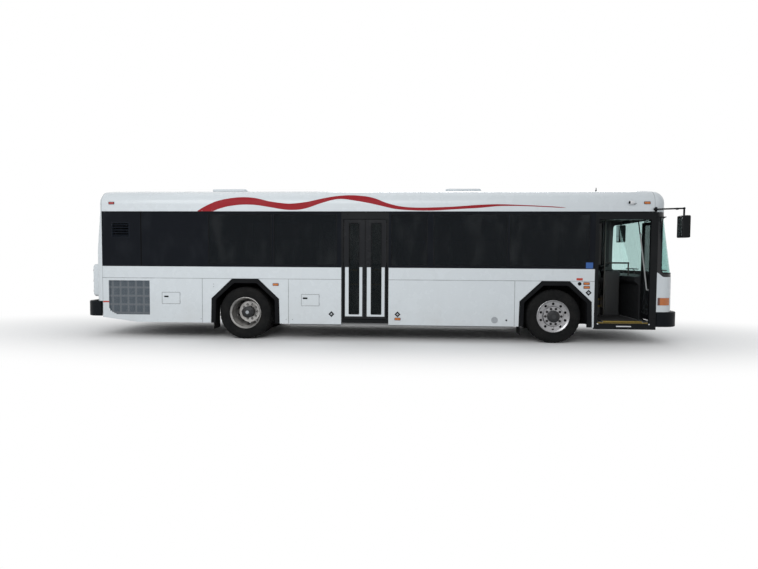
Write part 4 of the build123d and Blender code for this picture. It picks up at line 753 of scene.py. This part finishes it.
for name, side in SIDES:
    wave = Shape()
    rows = []
    for x in np.linspace(-3.285, 3.44, 180):
        foot = max(curve_through(WAVE_FOOT, x), 2.377)
        top = max(curve_through(WAVE_TOP, x), foot + 0.001)
        heights = [foot + (top - foot) * k / 6 for k in range(7)]
        outer = [on_side(x, h, side, 0.0012) for h in heights]
        rows.append(outer + [on_side(x, h, side, 0.0001) for h in heights[::-1]])
    wave.strip(rows, around=True, ends=True)
    wave.make(f"stripe_{name}", "red")

# Window rubbers, drip rails (black, partly a painted shadow line under the roof's edge) and rubber strips
# along the foot of the windows
for name, side in SIDES:
    at = beside(side)
    rubbers = Shape()
    for low, high in solids("side_glass"):
        if side * (low.y + high.y) > 0:
            pane = (low.x, high.x, low.z, high.z)
            rubbers.hoop(rounded(*pane, 0.03), inset(*pane, 0.021, 0.009), at, -0.0038, 0.0015)
    # Drip rail over the window band: black, partly a real rail and partly a painted shadow line under the
    # roof's edge
    rubbers.slab((-5.132, side * HALF, 2.3685), (4.99, side * (HALF + 0.004), 2.3825), edge=0.0012)
    for start, end in ((-5.132, -0.593), (0.283, 3.974)) if side < 0 else ((-5.132, 5.055),):
        rubbers.slab((start, side * HALF, 1.3545), (end, side * (HALF + 0.0012), 1.36), edge=0.0005)
    rubbers.make(f"window_rubbers_{name}", "rubber")

# Windscreen rubber round both corners, and the bar between its halves
FACE_X, FACE_RADIUS, SCREEN_FOOT, SCREEN_HEAD, SCREEN_BACK = 5.37, 0.2, 1.29, 2.285, 5.13


def face_x(z):
    return FACE_X - 0.155 * min(max((z - 1.224) / 1.078, 0), 1)


def round_the_nose(z, proud, back):
    """Points from the right side round the front to the left side, at one height."""
    corner = face_x(z) - FACE_RADIUS
    points = [Vector((back + (corner - back) * k / 4, -HALF - proud, z)) for k in range(4)]
    for k in range(9):
        dx, dy = polar(FACE_RADIUS + proud, 10 * k - 85 if k else -90)
        points.append(Vector((corner + dx, -HALF + FACE_RADIUS + dy, z)))
    points += [Vector((face_x(z) + proud, y, z)) for y in (-1.05, -0.55, 0)]
    return points + [Vector((p.x, -p.y, p.z)) for p in reversed(points[:-1])]


nose = Shape()
EDGE = 0.06
DEPTH = -0.003
upright = [(0, z) for z in (1.5, 1.8, 2.1)]
foot_bend = [(EDGE - dx, SCREEN_FOOT + EDGE - dz) for dz, dx in (polar(EDGE, 18 * k) for k in range(1, 6))]
head_bend = [(EDGE - dx, SCREEN_HEAD - EDGE + dz) for dx, dz in (polar(EDGE, 18 * k) for k in range(5))]
left = [Vector((SCREEN_BACK + dx, HALF + DEPTH, z)) for dx, z in foot_bend + upright + head_bend]
right = [Vector((p.x, -p.y, p.z)) for p in reversed(left)]
foot_line = round_the_nose(SCREEN_FOOT, DEPTH, SCREEN_BACK + EDGE)
head_line = round_the_nose(SCREEN_HEAD, DEPTH, SCREEN_BACK + EDGE)
nose.tube(foot_line + left + head_line[::-1] + right, 0.009, 8, closed=True)
bar = ((-0.016, -0.017), (-0.002, -0.017), (0.002, -0.01), (0.002, 0.01), (-0.002, 0.017), (-0.016, 0.017))
heights = np.linspace(SCREEN_FOOT, SCREEN_HEAD, 9)
nose.strip([[(face_x(z) + d, y, z) for d, y in bar] for z in heights], around=True, ends=True)
sign_front = across(FACE_X - 0.155, 1)
sign = (-0.826, 0.826, 2.344, 2.626)
nose.hoop(rounded(*sign, 0.044), inset(*sign, 0.032, 0.014), sign_front, -0.008, 0.002)
nose.make("windscreen_rubber", "rubber")

# Latches, hinges, plates and caps on the sides
FLUSH_DOORS = (
    # x, z of the door, x, z of its latch
    ((-3.982, -3.637), (0.654, 0.869), (-3.942, -3.856), (0.776, 0.804)),
    ((-1.335, -1.002), (0.641, 0.853), (-1.308, -1.218), (0.766, 0.796)),
)
QUARTER_TURNS = (
    (-2.99, 1.03), (-2.99, 0.985), (-3.02, 0.375), (-3.235, 0.375), (-1.62, 0.385), (-1.5, 0.385),
)
DIAMONDS = ((-0.773, 0.492), (0.449, 0.501), (3.874, 0.93))
for name, side in SIDES:
    at = beside(side)
    way = (0, side, 0)
    kit = Shape()
    for door_x, door_z, latch_x, latch_z in FLUSH_DOORS:
        kit.plate(rounded(*latch_x, *latch_z, 0.012), at, 0, 0.004)
        back, front, foot, head = *latch_x, *latch_z
        handle = rounded(back + 0.008, front - 0.02, foot + 0.006, head - 0.006, 0.008)
        kit.plate(handle, at, 0.004, 0.007)
        for z in (door_z[0] + 0.035, door_z[1] - 0.035):
            kit.tube([at(door_x[1] + 0.004, z + d, 0.001) for d in (-0.022, 0.022)], 0.004, 8, 2)
        for x in np.linspace(door_x[0] + 0.02, door_x[1] - 0.02, 6):
            for z in (door_z[0] - 0.012, door_z[1] + 0.012):
                kit.dome(at(x, z, 0), way, 0.0035, 0.0015, 2, 6)
    for x, z in QUARTER_TURNS:
        kit.dome(at(x, z, 0), way, 0.009, 0.003, 2, 12)
        kit.slab(at(x - 0.006, z - 0.0012, 0.0028), at(x + 0.006, z + 0.0012, 0.0036), 0, 0.0003)
    for x, z in DIAMONDS:
        kit.plate(circle(x, z, 0.055, 4), at, 0, 0.0025, 0)
        kit.plate(circle(x, z, 0.024, 4), at, 0.0025, 0.0032, 2)
    for x in np.arange(-5.05, 4.95, 0.14):
        doorway = side < 0 and (-0.62 < x < 0.31 or x > 3.94)
        if not (-3.07 < x < -1.71 or 2.61 < x < 3.96 or doorway):
            foot = at(x, 0.33 + max(0, -4.483 - x) * 0.125, 0)
            kit.dome(foot, way, 0.0045, 0.002, 1, 6)
    for x in np.arange(-5.1, 4.97, 0.19):
        kit.dome(at(x, 2.398, 0), way, 0.0045, 0.002, 1, 6)
    if side < 0:
        cap = [(0, 0.058), (0.006, 0.058), (0.009, 0.052), (0.007, 0.045), (0.007, 0.02), (0.01, 0.017)]
        kit.lathe(at(2.21, 0.419, 0), way, cap, 32, 3)
        kit.lathe(at(2.424, 0.416, 0), way, [(0, 0.016), (0.004, 0.015), (0.008, 0.009)], 16, 0)
        socket = [(0, 0.032), (0.008, 0.031), (0.012, 0.024), (0.009, 0.016)]
        kit.lathe(at(3.713, 1.09, 0), way, socket, 24)
        kit.plate(rounded(3.656, 3.766, 1.15, 1.192, 0.006), at, 0, 0.0025, 4)
        kit.plate(rounded(3.817, 3.942, 1.366, 1.473, 0.008), at, 0, 0.0018, 5)
        kit.slab((4.369, -HALF - 0.0001, 0.322), (4.632, -HALF - 0.0025, 0.341), 6, 0.0008)
        for x in (4.044, 4.944):
            kit.dome(Vector((x, -HALF, 0.372)), (0, -1, 0), 0.013, 0.006, 6, 12)
    kit.slab(at(-5.128, 0.668, 0), at(-5.01, 0.694, 0.0035), 4, 0.001)
    kit.make(f"side_fittings_{name}", "rubber white grey grey bare_red bare_blue bare_white")

# Folded corner of the side screen
torn = Shape()
ragged = (
    (-5.014, 0.443), (-4.868, 0.443), (-4.88, 0.462), (-4.905, 0.458), (-4.925, 0.486), (-4.948, 0.479),
    (-4.962, 0.512), (-4.99, 0.505), (-4.994, 0.545), (-5.014, 0.56),
)
torn.plate(ragged, beside(-1), 0.0002, 0.003, 0, 0.001)
torn.make("screen_fold", "white")

# Roof battens with rivets, antenna and camera pod
roof = Shape()
BATTEN = ((-0.022, -0.001), (-0.02, 0.002), (0.02, 0.002), (0.022, -0.001))
for x in (-4.55, -3.65, -2.3, -1.1, 0.1, 1.2, 2.25, 3.4, 4.55):
    rows = []
    for y in np.linspace(-1.06, 1.06, 25):
        rows.append([on_roof(x + dx, y, d) for dx, d in BATTEN])
    roof.strip(rows, around=True, ends=True)
    for y in np.linspace(-1, 1, 15):
        for dx in (-0.01, 0.01):
            roof.dome(on_roof(x + dx, y, 0.0015), (0, y / CROWN, 1), 0.0045, 0.002, 0, 6)
antenna = [(-0.004, 0.022), (0.006, 0.02), (0.012, 0.009), (0.05, 0.007), (0.062, 0.004)]
roof.lathe(on_roof(4.083, -0.9), (0, -0.15, 1), antenna, 16, 1)
pod = Vector((4.585, -HALF, 2.536))
roof.plate(rounded(4.555, 4.615, 2.5, 2.572, 0.012), beside(-1), -0.001, 0.008, 2)
for foot, profile, mark in (
    ((0.03, -0.046, 0), [(0, 0.02), (0.012, 0.029), (0.07, 0.031), (0.078, 0.028)], 2),
    ((-0.048, -0.0535, 0), [(-0.002, 0.027), (0.01, 0.026), (0.017, 0.017), (0.019, 0.006)], 1),
):
    roof.lathe(pod + Vector(foot), (-1, -0.1, 0), profile, 20, mark)
roof.tube([pod + Vector((0, -0.004, 0)), pod + Vector((0, -0.046, 0))], 0.014, 12, 2)
cable = ((4.615, 0.004, 2.515), (4.64, 0.006, 2.508), (4.66, 0.004, 2.524), (4.672, -0.002, 2.53))
roof.tube([(x, -HALF - proud, z) for x, proud, z in cable], 0.0035, 8, 1)
roof.make("roof_fittings", "white rubber bare_white")

# Mirror glasses and clamps
mirrors = Shape()
for side in (-1, 1):
    for y0, y1, z0, z1 in ((1.41, 1.59, 2.052, 2.271), (1.41, 1.59, 1.937, 2.044)):
        outline = rounded(y0, y1, z0, z1, 0.014)
        mirrors.plate(outline, lambda y, z, d: Vector((5.3312 - d, side * y, z)), 0, 0.004, 0, 0.001)
    for y in (1.33, 1.42):
        clamp = Vector((5.3 - (1.5 - y) * 1.9 if y < 1.4 else 5.318, side * y, 2.42))
        band = [(-0.022, 0.017), (-0.02, 0.0185), (0.02, 0.0185), (0.022, 0.017)]
        mirrors.lathe(clamp, (0.88, side * 0.47, 0), band, 16, 1)
    mirrors.plate(rounded(4.985, 5.03, 2.376, 2.46, 0.01), beside(side), -0.001, 0.006, 1)
    for z in (2.388, 2.448):
        mirrors.dome(Vector((5.007, side * (HALF + 0.006), z)), (0, side, 0), 0.007, 0.004, 1, 6)
mirrors.make("mirror_fittings", "mirror rubber")

# Lamp rims, front and rear, and the bases of the marker lamps
rims = Shape()
front_face = across(FACE_X, 1)
rear_face = across(-5.28, -1)
for side in (-1, 1):
    for y in (side * 0.805, side * 1.015):
        rims.hoop(circle(y, 0.75, 0.0915), circle(y, 0.75, 0.0835), front_face, -0.03, -0.009, 0)
    frame_outline = (*sorted((side * 0.686, side * 1.134)), 0.636, 0.864)
    rims.hoop(rounded(*frame_outline, 0.02), inset(*frame_outline, 0.014, 0.01), front_face, -0.01, 0.002, 1)
for node in ("amber_lamps", "red_lamps"):
    for low, high in solids(node):
        if abs(high.x - low.x - 0.06) < 0.012 and min(abs(low.y), abs(high.y)) > 1.29:
            at = beside(1 if low.y > 0 else -1)
            x, z = (low.x + high.x) / 2, (low.z + high.z) / 2
            top = max(abs(low.y), abs(high.y)) - HALF + 0.0015
            base = (x - 0.056, x + 0.056, z - 0.024, z + 0.024)
            cover = rounded(x - 0.049, x + 0.049, z - 0.019, z + 0.019, 0.008)
            rims.plate(rounded(*base, 0.01), at, -0.0002, 0.5 * top, 1)
            rims.plate(cover, at, 0, top, 2 if node == "amber_lamps" else 3, 0.004)
rims.make("lamp_rims", "stainless rubber amber red_lens")

# Pods of the rear lamps, standing out from the rear face, with their lenses
POD_STEPS = ((-0.003, -0.003), (0.004, 0), (0.078, 0), (0.098, 0.006), (0.112, 0.018), (0.118, 0.034))
pods = Shape()
for side in (-1, 1):
    middle = side * 1.07
    rows = []
    for depth, shrink in POD_STEPS:
        outline = inset(middle - 0.098, middle + 0.098, 0.77, 1.388, 0.055 - 0.5 * max(shrink, 0), shrink)
        rows.append([rear_face(y, z, depth) for y, z in outline])
    pods.strip(rows, 0, around=True, ends=True)
    for z in (0.868, 1.068, 1.268):
        foot = rear_face(middle, z, 0.116)
        pods.lathe(foot, -X, [(0, 0.064), (0.008, 0.064), (0.011, 0.06)], 40, 1)
        pods.lathe(foot, -X, [(0.004, 0.0595), (0.013, 0.0575), (0.018, 0.045), (0.02, 0.012)], 40, 2)
pods.make("rear_lamp_pods", "white rubber red_lens")

# Wiper rubbers, and the blank plate and handle on the engine door
wipers = Shape()
for side in (-1, 1):
    wipers.slab((5.3485, side * 0.335, 1.3225), (5.3555, side * 0.995, 1.3285), 0, 0.0008)
    for y in (0.47, 0.665, 0.86):
        wipers.slab((5.352, side * (y - 0.012), 1.323), (5.366, side * (y + 0.012), 1.347), 0, 0.002)
    wipers.dome((5.398, side * 0.3, 1.18), (1, 0, 0), 0.016, 0.006, 0, 12)
wipers.make("wiper_rubbers", "rubber")
plate = Shape()
behind = across(-5.39, -1)
plate.plate(rounded(-0.155, 0.155, 0.842, 0.998, 0.012), behind, -0.002, 0.0025, 0)
for y in (-0.11, 0.11):
    for z in (0.858, 0.982):
        plate.dome(behind(y, z, 0.0024), (-1, 0, 0), 0.006, 0.003, 1, 8)
plate.plate(rounded(-0.06, 0.06, 1.02, 1.046, 0.01), behind, -0.002, 0.016, 2)
plate.make("blank_rear_plate", "bare_white steel rubber", "engine_door")

# Wheel nuts, hub caps and tyres with grooves round the tread and cuts in the shoulders
TREAD = (
    # offset from the middle, radius, 1 where a cut crosses
    (-0.112, 0.288, 0), (-0.126, 0.296, 0), (-0.135, 0.306, 0), (-0.139, 0.318, 0), (-0.1395, 0.324, 0),
    (-0.1375, 0.327, 0), (-0.141, 0.345, 0), (-0.1445, 0.372, 0), (-0.145, 0.395, 0), (-0.1425, 0.418, 0),
    (-0.1435, 0.421, 0), (-0.1425, 0.426, 0), (-0.138, 0.445, 0), (-0.132, 0.461, 1), (-0.125, 0.474, 1),
    (-0.117, 0.4845, 1), (-0.108, 0.4868, 1), (-0.08, 0.4882, 0), (-0.079, 0.476, 0), (-0.067, 0.476, 0),
    (-0.066, 0.4888, 0), (-0.04, 0.4895, 0), (-0.039, 0.476, 0), (-0.028, 0.476, 0), (-0.027, 0.4898, 0),
    (0, 0.4899, 0),
)
SEGMENTS = 160
NUT = (
    # profile and segments of the flange, the nut and the stud's tip
    (((0, 0.0225), (0.0035, 0.0225), (0.005, 0.02)), 16),
    (((0.0045, 0.0205), (0.0235, 0.0205), (0.026, 0.018)), 6),
    (((0.0255, 0.0105), (0.034, 0.0105), (0.0365, 0.007)), 12),
)
STUD_CIRCLE = 0.142875
FRONT_CAP = (
    (0.12, 0.1085), (0.1735, 0.1085), (0.179, 0.09), (0.186, 0.062), (0.1862, 0.04),
    (0.1835, 0.036), (0.1835, 0.01),
)
REAR_CAP = (
    (-0.15, 0.109), (-0.008, 0.1088), (-0.005, 0.104), (0.0085, 0.062), (0.009, 0.03), (0.0065, 0.026),
)
WHEELS = (
    # axle, its x, names, wheels on a side, face of the disc, hub cap, its bolts, their circle and profile
    ("front", FRONT_AXLE, "tread", "wheel", "tyre", 1, 0.1352, FRONT_CAP, 6, 0.086,
     ((0.172, 0.0095), (0.184, 0.0095), (0.186, 0.008))),
    ("rear", REAR_AXLE, "treads", "wheels", "tyres", 2, -0.1568, REAR_CAP, 8, 0.084,
     ((-0.01, 0.01), (0.006, 0.01), (0.008, 0.008))),
)


def tyre(shape, x, y, side):
    """Tread and walls about a wheel's middle; side says which wall faces out."""
    full = list(TREAD) + [(-a, r, c) for a, r, c in reversed(TREAD[:-1])]
    rows = []
    for k in range(SEGMENTS):
        row = []
        for offset, radius, crossed in full:
            dx, dz = polar(radius - (0.009 if crossed and k % 4 == 0 else 0), 360 * k / SEGMENTS)
            row.append((x + dx, y + side * offset, AXLE_Z + dz))
        rows.append(row)
    shape.strip(rows, closed=True, around=True)


for name, side in SIDES:
    way = (0, side, 0)
    for axle, x, tread, wheel, rubber, count, face, cap, bolts, reach, bolt in WHEELS:
        body = f"{axle}_{wheel}_{name}"
        tyres = Shape()
        for k in range(count):
            tyre(tyres, x, side * (WHEEL_Y - k * TWIN), side * (-1) ** k)
        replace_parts(tyres.make(f"{axle}_{tread}_{name}", "tyre", body, 24), f"{axle}_{rubber}_{name}")
        hub = Shape()
        middle = Vector((x, side * WHEEL_Y, AXLE_Z))
        for foot in ring(middle + Vector((0, side * face, 0)), X, Z, STUD_CIRCLE, 10):
            for profile, segments in NUT:
                hub.lathe(foot, way, profile, segments, 0)
        hub.lathe(middle, way, cap, 40, 1)
        for foot in ring(middle, X, Z, reach, bolts, 0.5):
            hub.lathe(foot, way, bolt, 6, 0)
        if axle == "rear":
            hub.lathe(middle, way, [(0.004, 0.034), (0.01, 0.033), (0.0115, 0.022)], 24, 2)
        hub.make(f"{axle}_hub_{name}", "nut hub grey" if axle == "rear" else "nut hub", body)

# Rear doors: rubber along the meeting edges, push bars inside and rubbers round the panes
for leaf, edge_x, way, glass_x in (
    ("rear", -0.1565, 1, (-0.449, -0.2625)), ("front", -0.1465, -1, (-0.0405, 0.146)),
):
    door = Shape()
    door.tube([(edge_x + way * 0.001, -1.28, z) for z in np.linspace(0.415, 2.24, 8)], 0.003, 8)
    for z in (1.31, 1.045):
        back, front = glass_x[0] - 0.03, glass_x[1] + 0.03
        bar = [(back, -1.2525, z), (back, -1.222, z), (front, -1.222, z), (front, -1.2525, z)]
        door.tube(bar, 0.011, 10, 1)
    pane = (glass_x[0] - 0.006, glass_x[1] + 0.006, 0.489, 2.176)
    door.hoop(rounded(*pane, 0.02), inset(*pane, 0.012, 0.012), beside(-1), -0.0195, -0.0055)
    door.make(f"rear_door_trim_{leaf}", "rubber yellow", f"rear_door_{leaf}")

# Front door: brush strips along the leaves' free ends and panes' rubbers
for leaf, x in (("rear", 3.994), ("front", 4.984)):
    door = Shape()
    door.tube([(x, -0.7985, z) for z in np.linspace(0.45, 2.2, 8)], 0.0045, 8)
    pane = (-1.184, -0.849, 0.516, 2.166)
    for way in (-1, 1):
        door.hoop(rounded(*pane, 0.018), inset(*pane, 0.01, 0.014), across(x, way), 0.016, 0.0195)
    door.make(f"front_door_trim_{leaf}", "rubber", f"front_door_{leaf}")

# Steps, ceiling lights, and fittings of the dashboard and the farebox
inside = Shape()
for y, z in ((0.25, 0.58), (0.42, 0.715)):
    inside.slab((4.018, y - 0.003, z - 0.03), (4.931, y + 0.032, z + 0.003), 0, 0.001)
for y in (-0.79, 0.79):
    for start in np.arange(-4.1, 4.4, 1.25):
        inside.slab((start, y - 0.07, 2.722), (start + 1.2, y + 0.07, 2.752), 1, 0.012)
inside.plate(rounded(0.585, 0.895, 1.105, 1.188, 0.02), across(4.8805, -1), -0.001, 0.018, 2)
for y in (0.665, 0.815):
    inside.lathe((4.8625, y, 1.148), -X, [(0, 0.036), (0.006, 0.036), (0.008, 0.031), (0.004, 0.03)], 32, 3)
    inside.lathe((4.86, y, 1.148), -X, [(0, 0.029), (0.0015, 0.029)], 32, 5)
    inside.slab((4.8575, y - 0.001, 1.148), (4.8585, y + 0.001, 1.17), 4, 0.0003)
for row, z in enumerate((1.125, 1.16)):
    for k in range(7):
        y = 0.3 + 0.038 * k
        key = 2 if (k + row) % 3 else 4
        inside.slab((4.8805, y - 0.014, z - 0.01), (4.8715, y + 0.014, z + 0.01), key, 0.003)
inside.plate(rounded(-0.01, 0.2, 1.205, 1.285, 0.008), across(4.56, -1), -0.001, 0.004, 5)
inside.slab((4.6, 0.02, 1.299), (4.74, 0.17, 1.309), 2, 0.004)
inside.slab((4.63, 0.055, 1.308), (4.71, 0.135, 1.312), 5, 0.001)
for z in (0.55, 0.9):
    inside.plate(rounded(-0.005, 0.195, z, z + 0.26, 0.01), across(4.56, -1), -0.001, 0.003, 3)
    inside.dome((4.5565, 0.165, z + 0.13), (-1, 0, 0), 0.01, 0.004, 3, 12)
inside.make("cab_fittings", "yellow light dash stainless bare_white rubber")
horn = Shape()
button = [(0.006, 0.047), (0.016, 0.045), (0.024, 0.034), (0.026, 0.014)]
horn.lathe((4.7, 0.74, 1.355), (-0.469472, 0, 0.882948), button, 28)
horn.make("horn_pad", "rubber", "steering_wheel")

# Driver's seat: padded cushions on a pedestal
SEAT_FRONT, SEAT_BACK = 4.625, 4.185
PRESSURE, LAST_FRAME = 4, 20


def pad(name, low, high, tilt, round_off, voxel, cap):
    """Crowned cushion: a rounded block blown up as cloth, held to a small rise and smoothed."""
    low, high = Vector(low), Vector(high)
    middle, half = (low + high) / 2, (high - low) / 2
    work = bmesh.new()
    bmesh.ops.create_cube(work, size=2)
    bmesh.ops.scale(work, vec=half, verts=work.verts)
    bmesh.ops.bevel(work, geom=work.edges[:], offset=round_off, segments=4, profile=0.5, affect="EDGES")
    bmesh.ops.rotate(work, cent=(0, 0, 0), matrix=Matrix.Rotation(tilt, 3, "Y"), verts=work.verts)
    bmesh.ops.translate(work, vec=middle, verts=work.verts)
    mesh = bpy.data.meshes.new(name)
    work.to_mesh(mesh)
    work.free()
    piece = linked(name, mesh)
    remesh = piece.modifiers.new("remesh", "REMESH")
    remesh.mode = "VOXEL"
    remesh.voxel_size = voxel
    settle(piece)
    rest = [v.co.copy() for v in piece.data.vertices]
    cloth = piece.modifiers.new("cloth", "CLOTH")
    cloth.settings.use_pressure = True
    cloth.settings.uniform_pressure_force = PRESSURE
    cloth.settings.effector_weights.gravity = 0
    for frame_number in range(1, LAST_FRAME + 1):
        scene.frame_set(frame_number)
    settle(piece)
    scene.frame_set(1)
    for vertex, start in zip(piece.data.vertices, rest):
        move = vertex.co - start
        if move.length > cap:
            vertex.co = start + move * (cap / move.length)
    smooth = piece.modifiers.new("smooth", "SUBSURF")
    smooth.levels = smooth.render_levels = 1
    settle(piece)
    piece.data.shade_smooth()
    piece.data.materials.append(M["cloth"].material)
    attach(piece, "body")
    return piece


def settle(piece):
    """Replace the mesh by what its modifiers make of it."""
    shaped = bpy.data.meshes.new_from_object(piece.evaluated_get(bpy.context.evaluated_depsgraph_get()))
    piece.modifiers.clear()
    piece.data = shaped


pad("seat_cushion", (SEAT_BACK + 0.06, 0.512, 1.058), (SEAT_FRONT, 0.968, 1.128), -0.06, 0.03, 0.006, 0.01)
pad("seat_back", (4.128, 0.515, 1.15), (4.198, 0.965, 1.56), -0.1, 0.03, 0.006, 0.01)
pad("seat_headrest", (4.105, 0.62, 1.59), (4.15, 0.86, 1.668), -0.06, 0.02, 0.005, 0.006)
stand = Shape()
stand.slab((4.26, 0.6, 0.716), (4.56, 0.88, 0.76), 0, 0.01)
rows = []
for z in np.linspace(0.76, 1, 13):
    swell = 0.006 * math.cos(50 * math.pi * (z - 0.76))
    rows.append([(x, y, z) for x, y in inset(4.285, 4.535, 0.625, 0.855, 0.03, -swell)])
stand.strip(rows, 1, around=True, ends=True)
stand.slab((4.225, 0.56, 1), (4.59, 0.92, 1.052), 0, 0.012)
for y in (0.585, 0.895):
    stand.tube([(4.245, y, 1.02), (4.17, y, 1.06), (4.15, y, 1.2), (4.125, y, 1.42)], 0.012, 10, 0)
for y in (0.69, 0.79):
    stand.tube([(4.15, y, 1.52), (4.13, y, 1.6)], 0.006, 8, 2)
stand.tube([(4.56, 0.7, 1.01), (4.605, 0.7, 1), (4.605, 0.78, 1), (4.56, 0.78, 1.01)], 0.006, 8, 2)
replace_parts(stand.make("seat_stand", "dash rubber stainless"), "driver_seat")

# Camera at the photograph's angle
camera_data = bpy.data.cameras.new("camera")
SENSOR, PHOTO_WIDTH, FOCAL_PIXELS = 36, 758, 569
camera_data.sensor_width = SENSOR
camera_data.lens = SENSOR * FOCAL_PIXELS / PHOTO_WIDTH
camera_data.clip_end = 200
camera = linked("camera", camera_data)
camera_right = Vector((0.99800067, 0.06296988, 0.00542782))
camera_up = Vector((-0.00840654, 0.04713575, 0.99885312))
camera_forward = Vector((-0.06264181, 0.99690171, -0.04757087))
turn = Matrix((camera_right, camera_up, -camera_forward)).transposed().to_4x4()
camera.matrix_world = Matrix.Translation((0.76, -11.701, 1.544)) @ turn
scene.camera = camera


# Floor, backdrop, world and lamps
def seen_directly(tree):
    """1 for rays from the camera, off metal or through glass, which see a white surround."""
    path = tree.nodes.new("ShaderNodeLightPath")
    seen = path.outputs["Is Camera Ray"]
    for other in ("Is Glossy Ray", "Is Transmission Ray"):
        either = tree.nodes.new("ShaderNodeMath")
        either.operation = "MAXIMUM"
        tree.links.new(seen, either.inputs[0])
        tree.links.new(path.outputs[other], either.inputs[1])
        seen = either.outputs[0]
    return seen


def mixed(tree, share, first, second, target):
    """Feed target from first, or from second by share."""
    blend = tree.nodes.new("ShaderNodeMixShader")
    for source, socket in zip((share, first.outputs[0], second.outputs[0]), blend.inputs):
        tree.links.new(source, socket)
    tree.links.new(blend.outputs[0], target)


ground = Finish("studio_floor", Roughness=0.9)
ground.into("Base Color", ground.mix(ground.noise(0.3, 3), (0.8, 0.8, 0.8), (0.84, 0.84, 0.84)))
glow = ground.node("Emission")
spread_x = ground.both(ground.both(ground.x, ground.x), 0.16)
away = ground.math("SQRT", ground.math("MULTIPLY_ADD", ground.y, ground.y, spread_x))
fade = ground.both(ground.spread(away, 1.6, 4.6), seen_directly(ground.tree))
output = ground.tree.nodes["Material Output"].inputs["Surface"]
mixed(ground.tree, fade, ground.shader, glow, output)
plane = bpy.data.meshes.new("studio_floor")
plane.from_pydata([(-60, -60, 0), (60, -60, 0), (60, 60, 0), (-60, 60, 0)], [], [(0, 1, 2, 3)])
plane.materials.append(ground.material)
linked("studio_floor", plane)

world = bpy.data.worlds.new("studio")
scene.world = world
world.use_nodes = True
sky = world.node_tree
sky.nodes.clear()
backgrounds = []
for colour, strength in (((0.94, 0.97, 1, 1), 0.5), ((1, 1, 1, 1), 1)):
    background = sky.nodes.new("ShaderNodeBackground")
    background.inputs["Color"].default_value = colour
    background.inputs["Strength"].default_value = strength
    backgrounds.append(background)
mixed(sky, seen_directly(sky), *backgrounds, sky.nodes.new("ShaderNodeOutputWorld").inputs[0])


def lamp(name, place, aim, size, power):
    data = bpy.data.lights.new(name, "AREA")
    data.shape = "RECTANGLE"
    data.size, data.size_y = size
    data.energy = power
    obj = linked(name, data)
    obj.location = place
    way = Vector(aim) - Vector(place)
    obj.rotation_euler = way.to_track_quat("-Z", "Y").to_euler()


lamp("key_softbox", (-3, -11, 6.5), (0, 0, 1.4), (13, 5), 760)
lamp("top_softbox", (0, 1, 10), (0, 0, 2), (14, 6), 180)
lamp("back_softbox", (3, 11, 6), (0, 0, 1.5), (12, 5), 420)
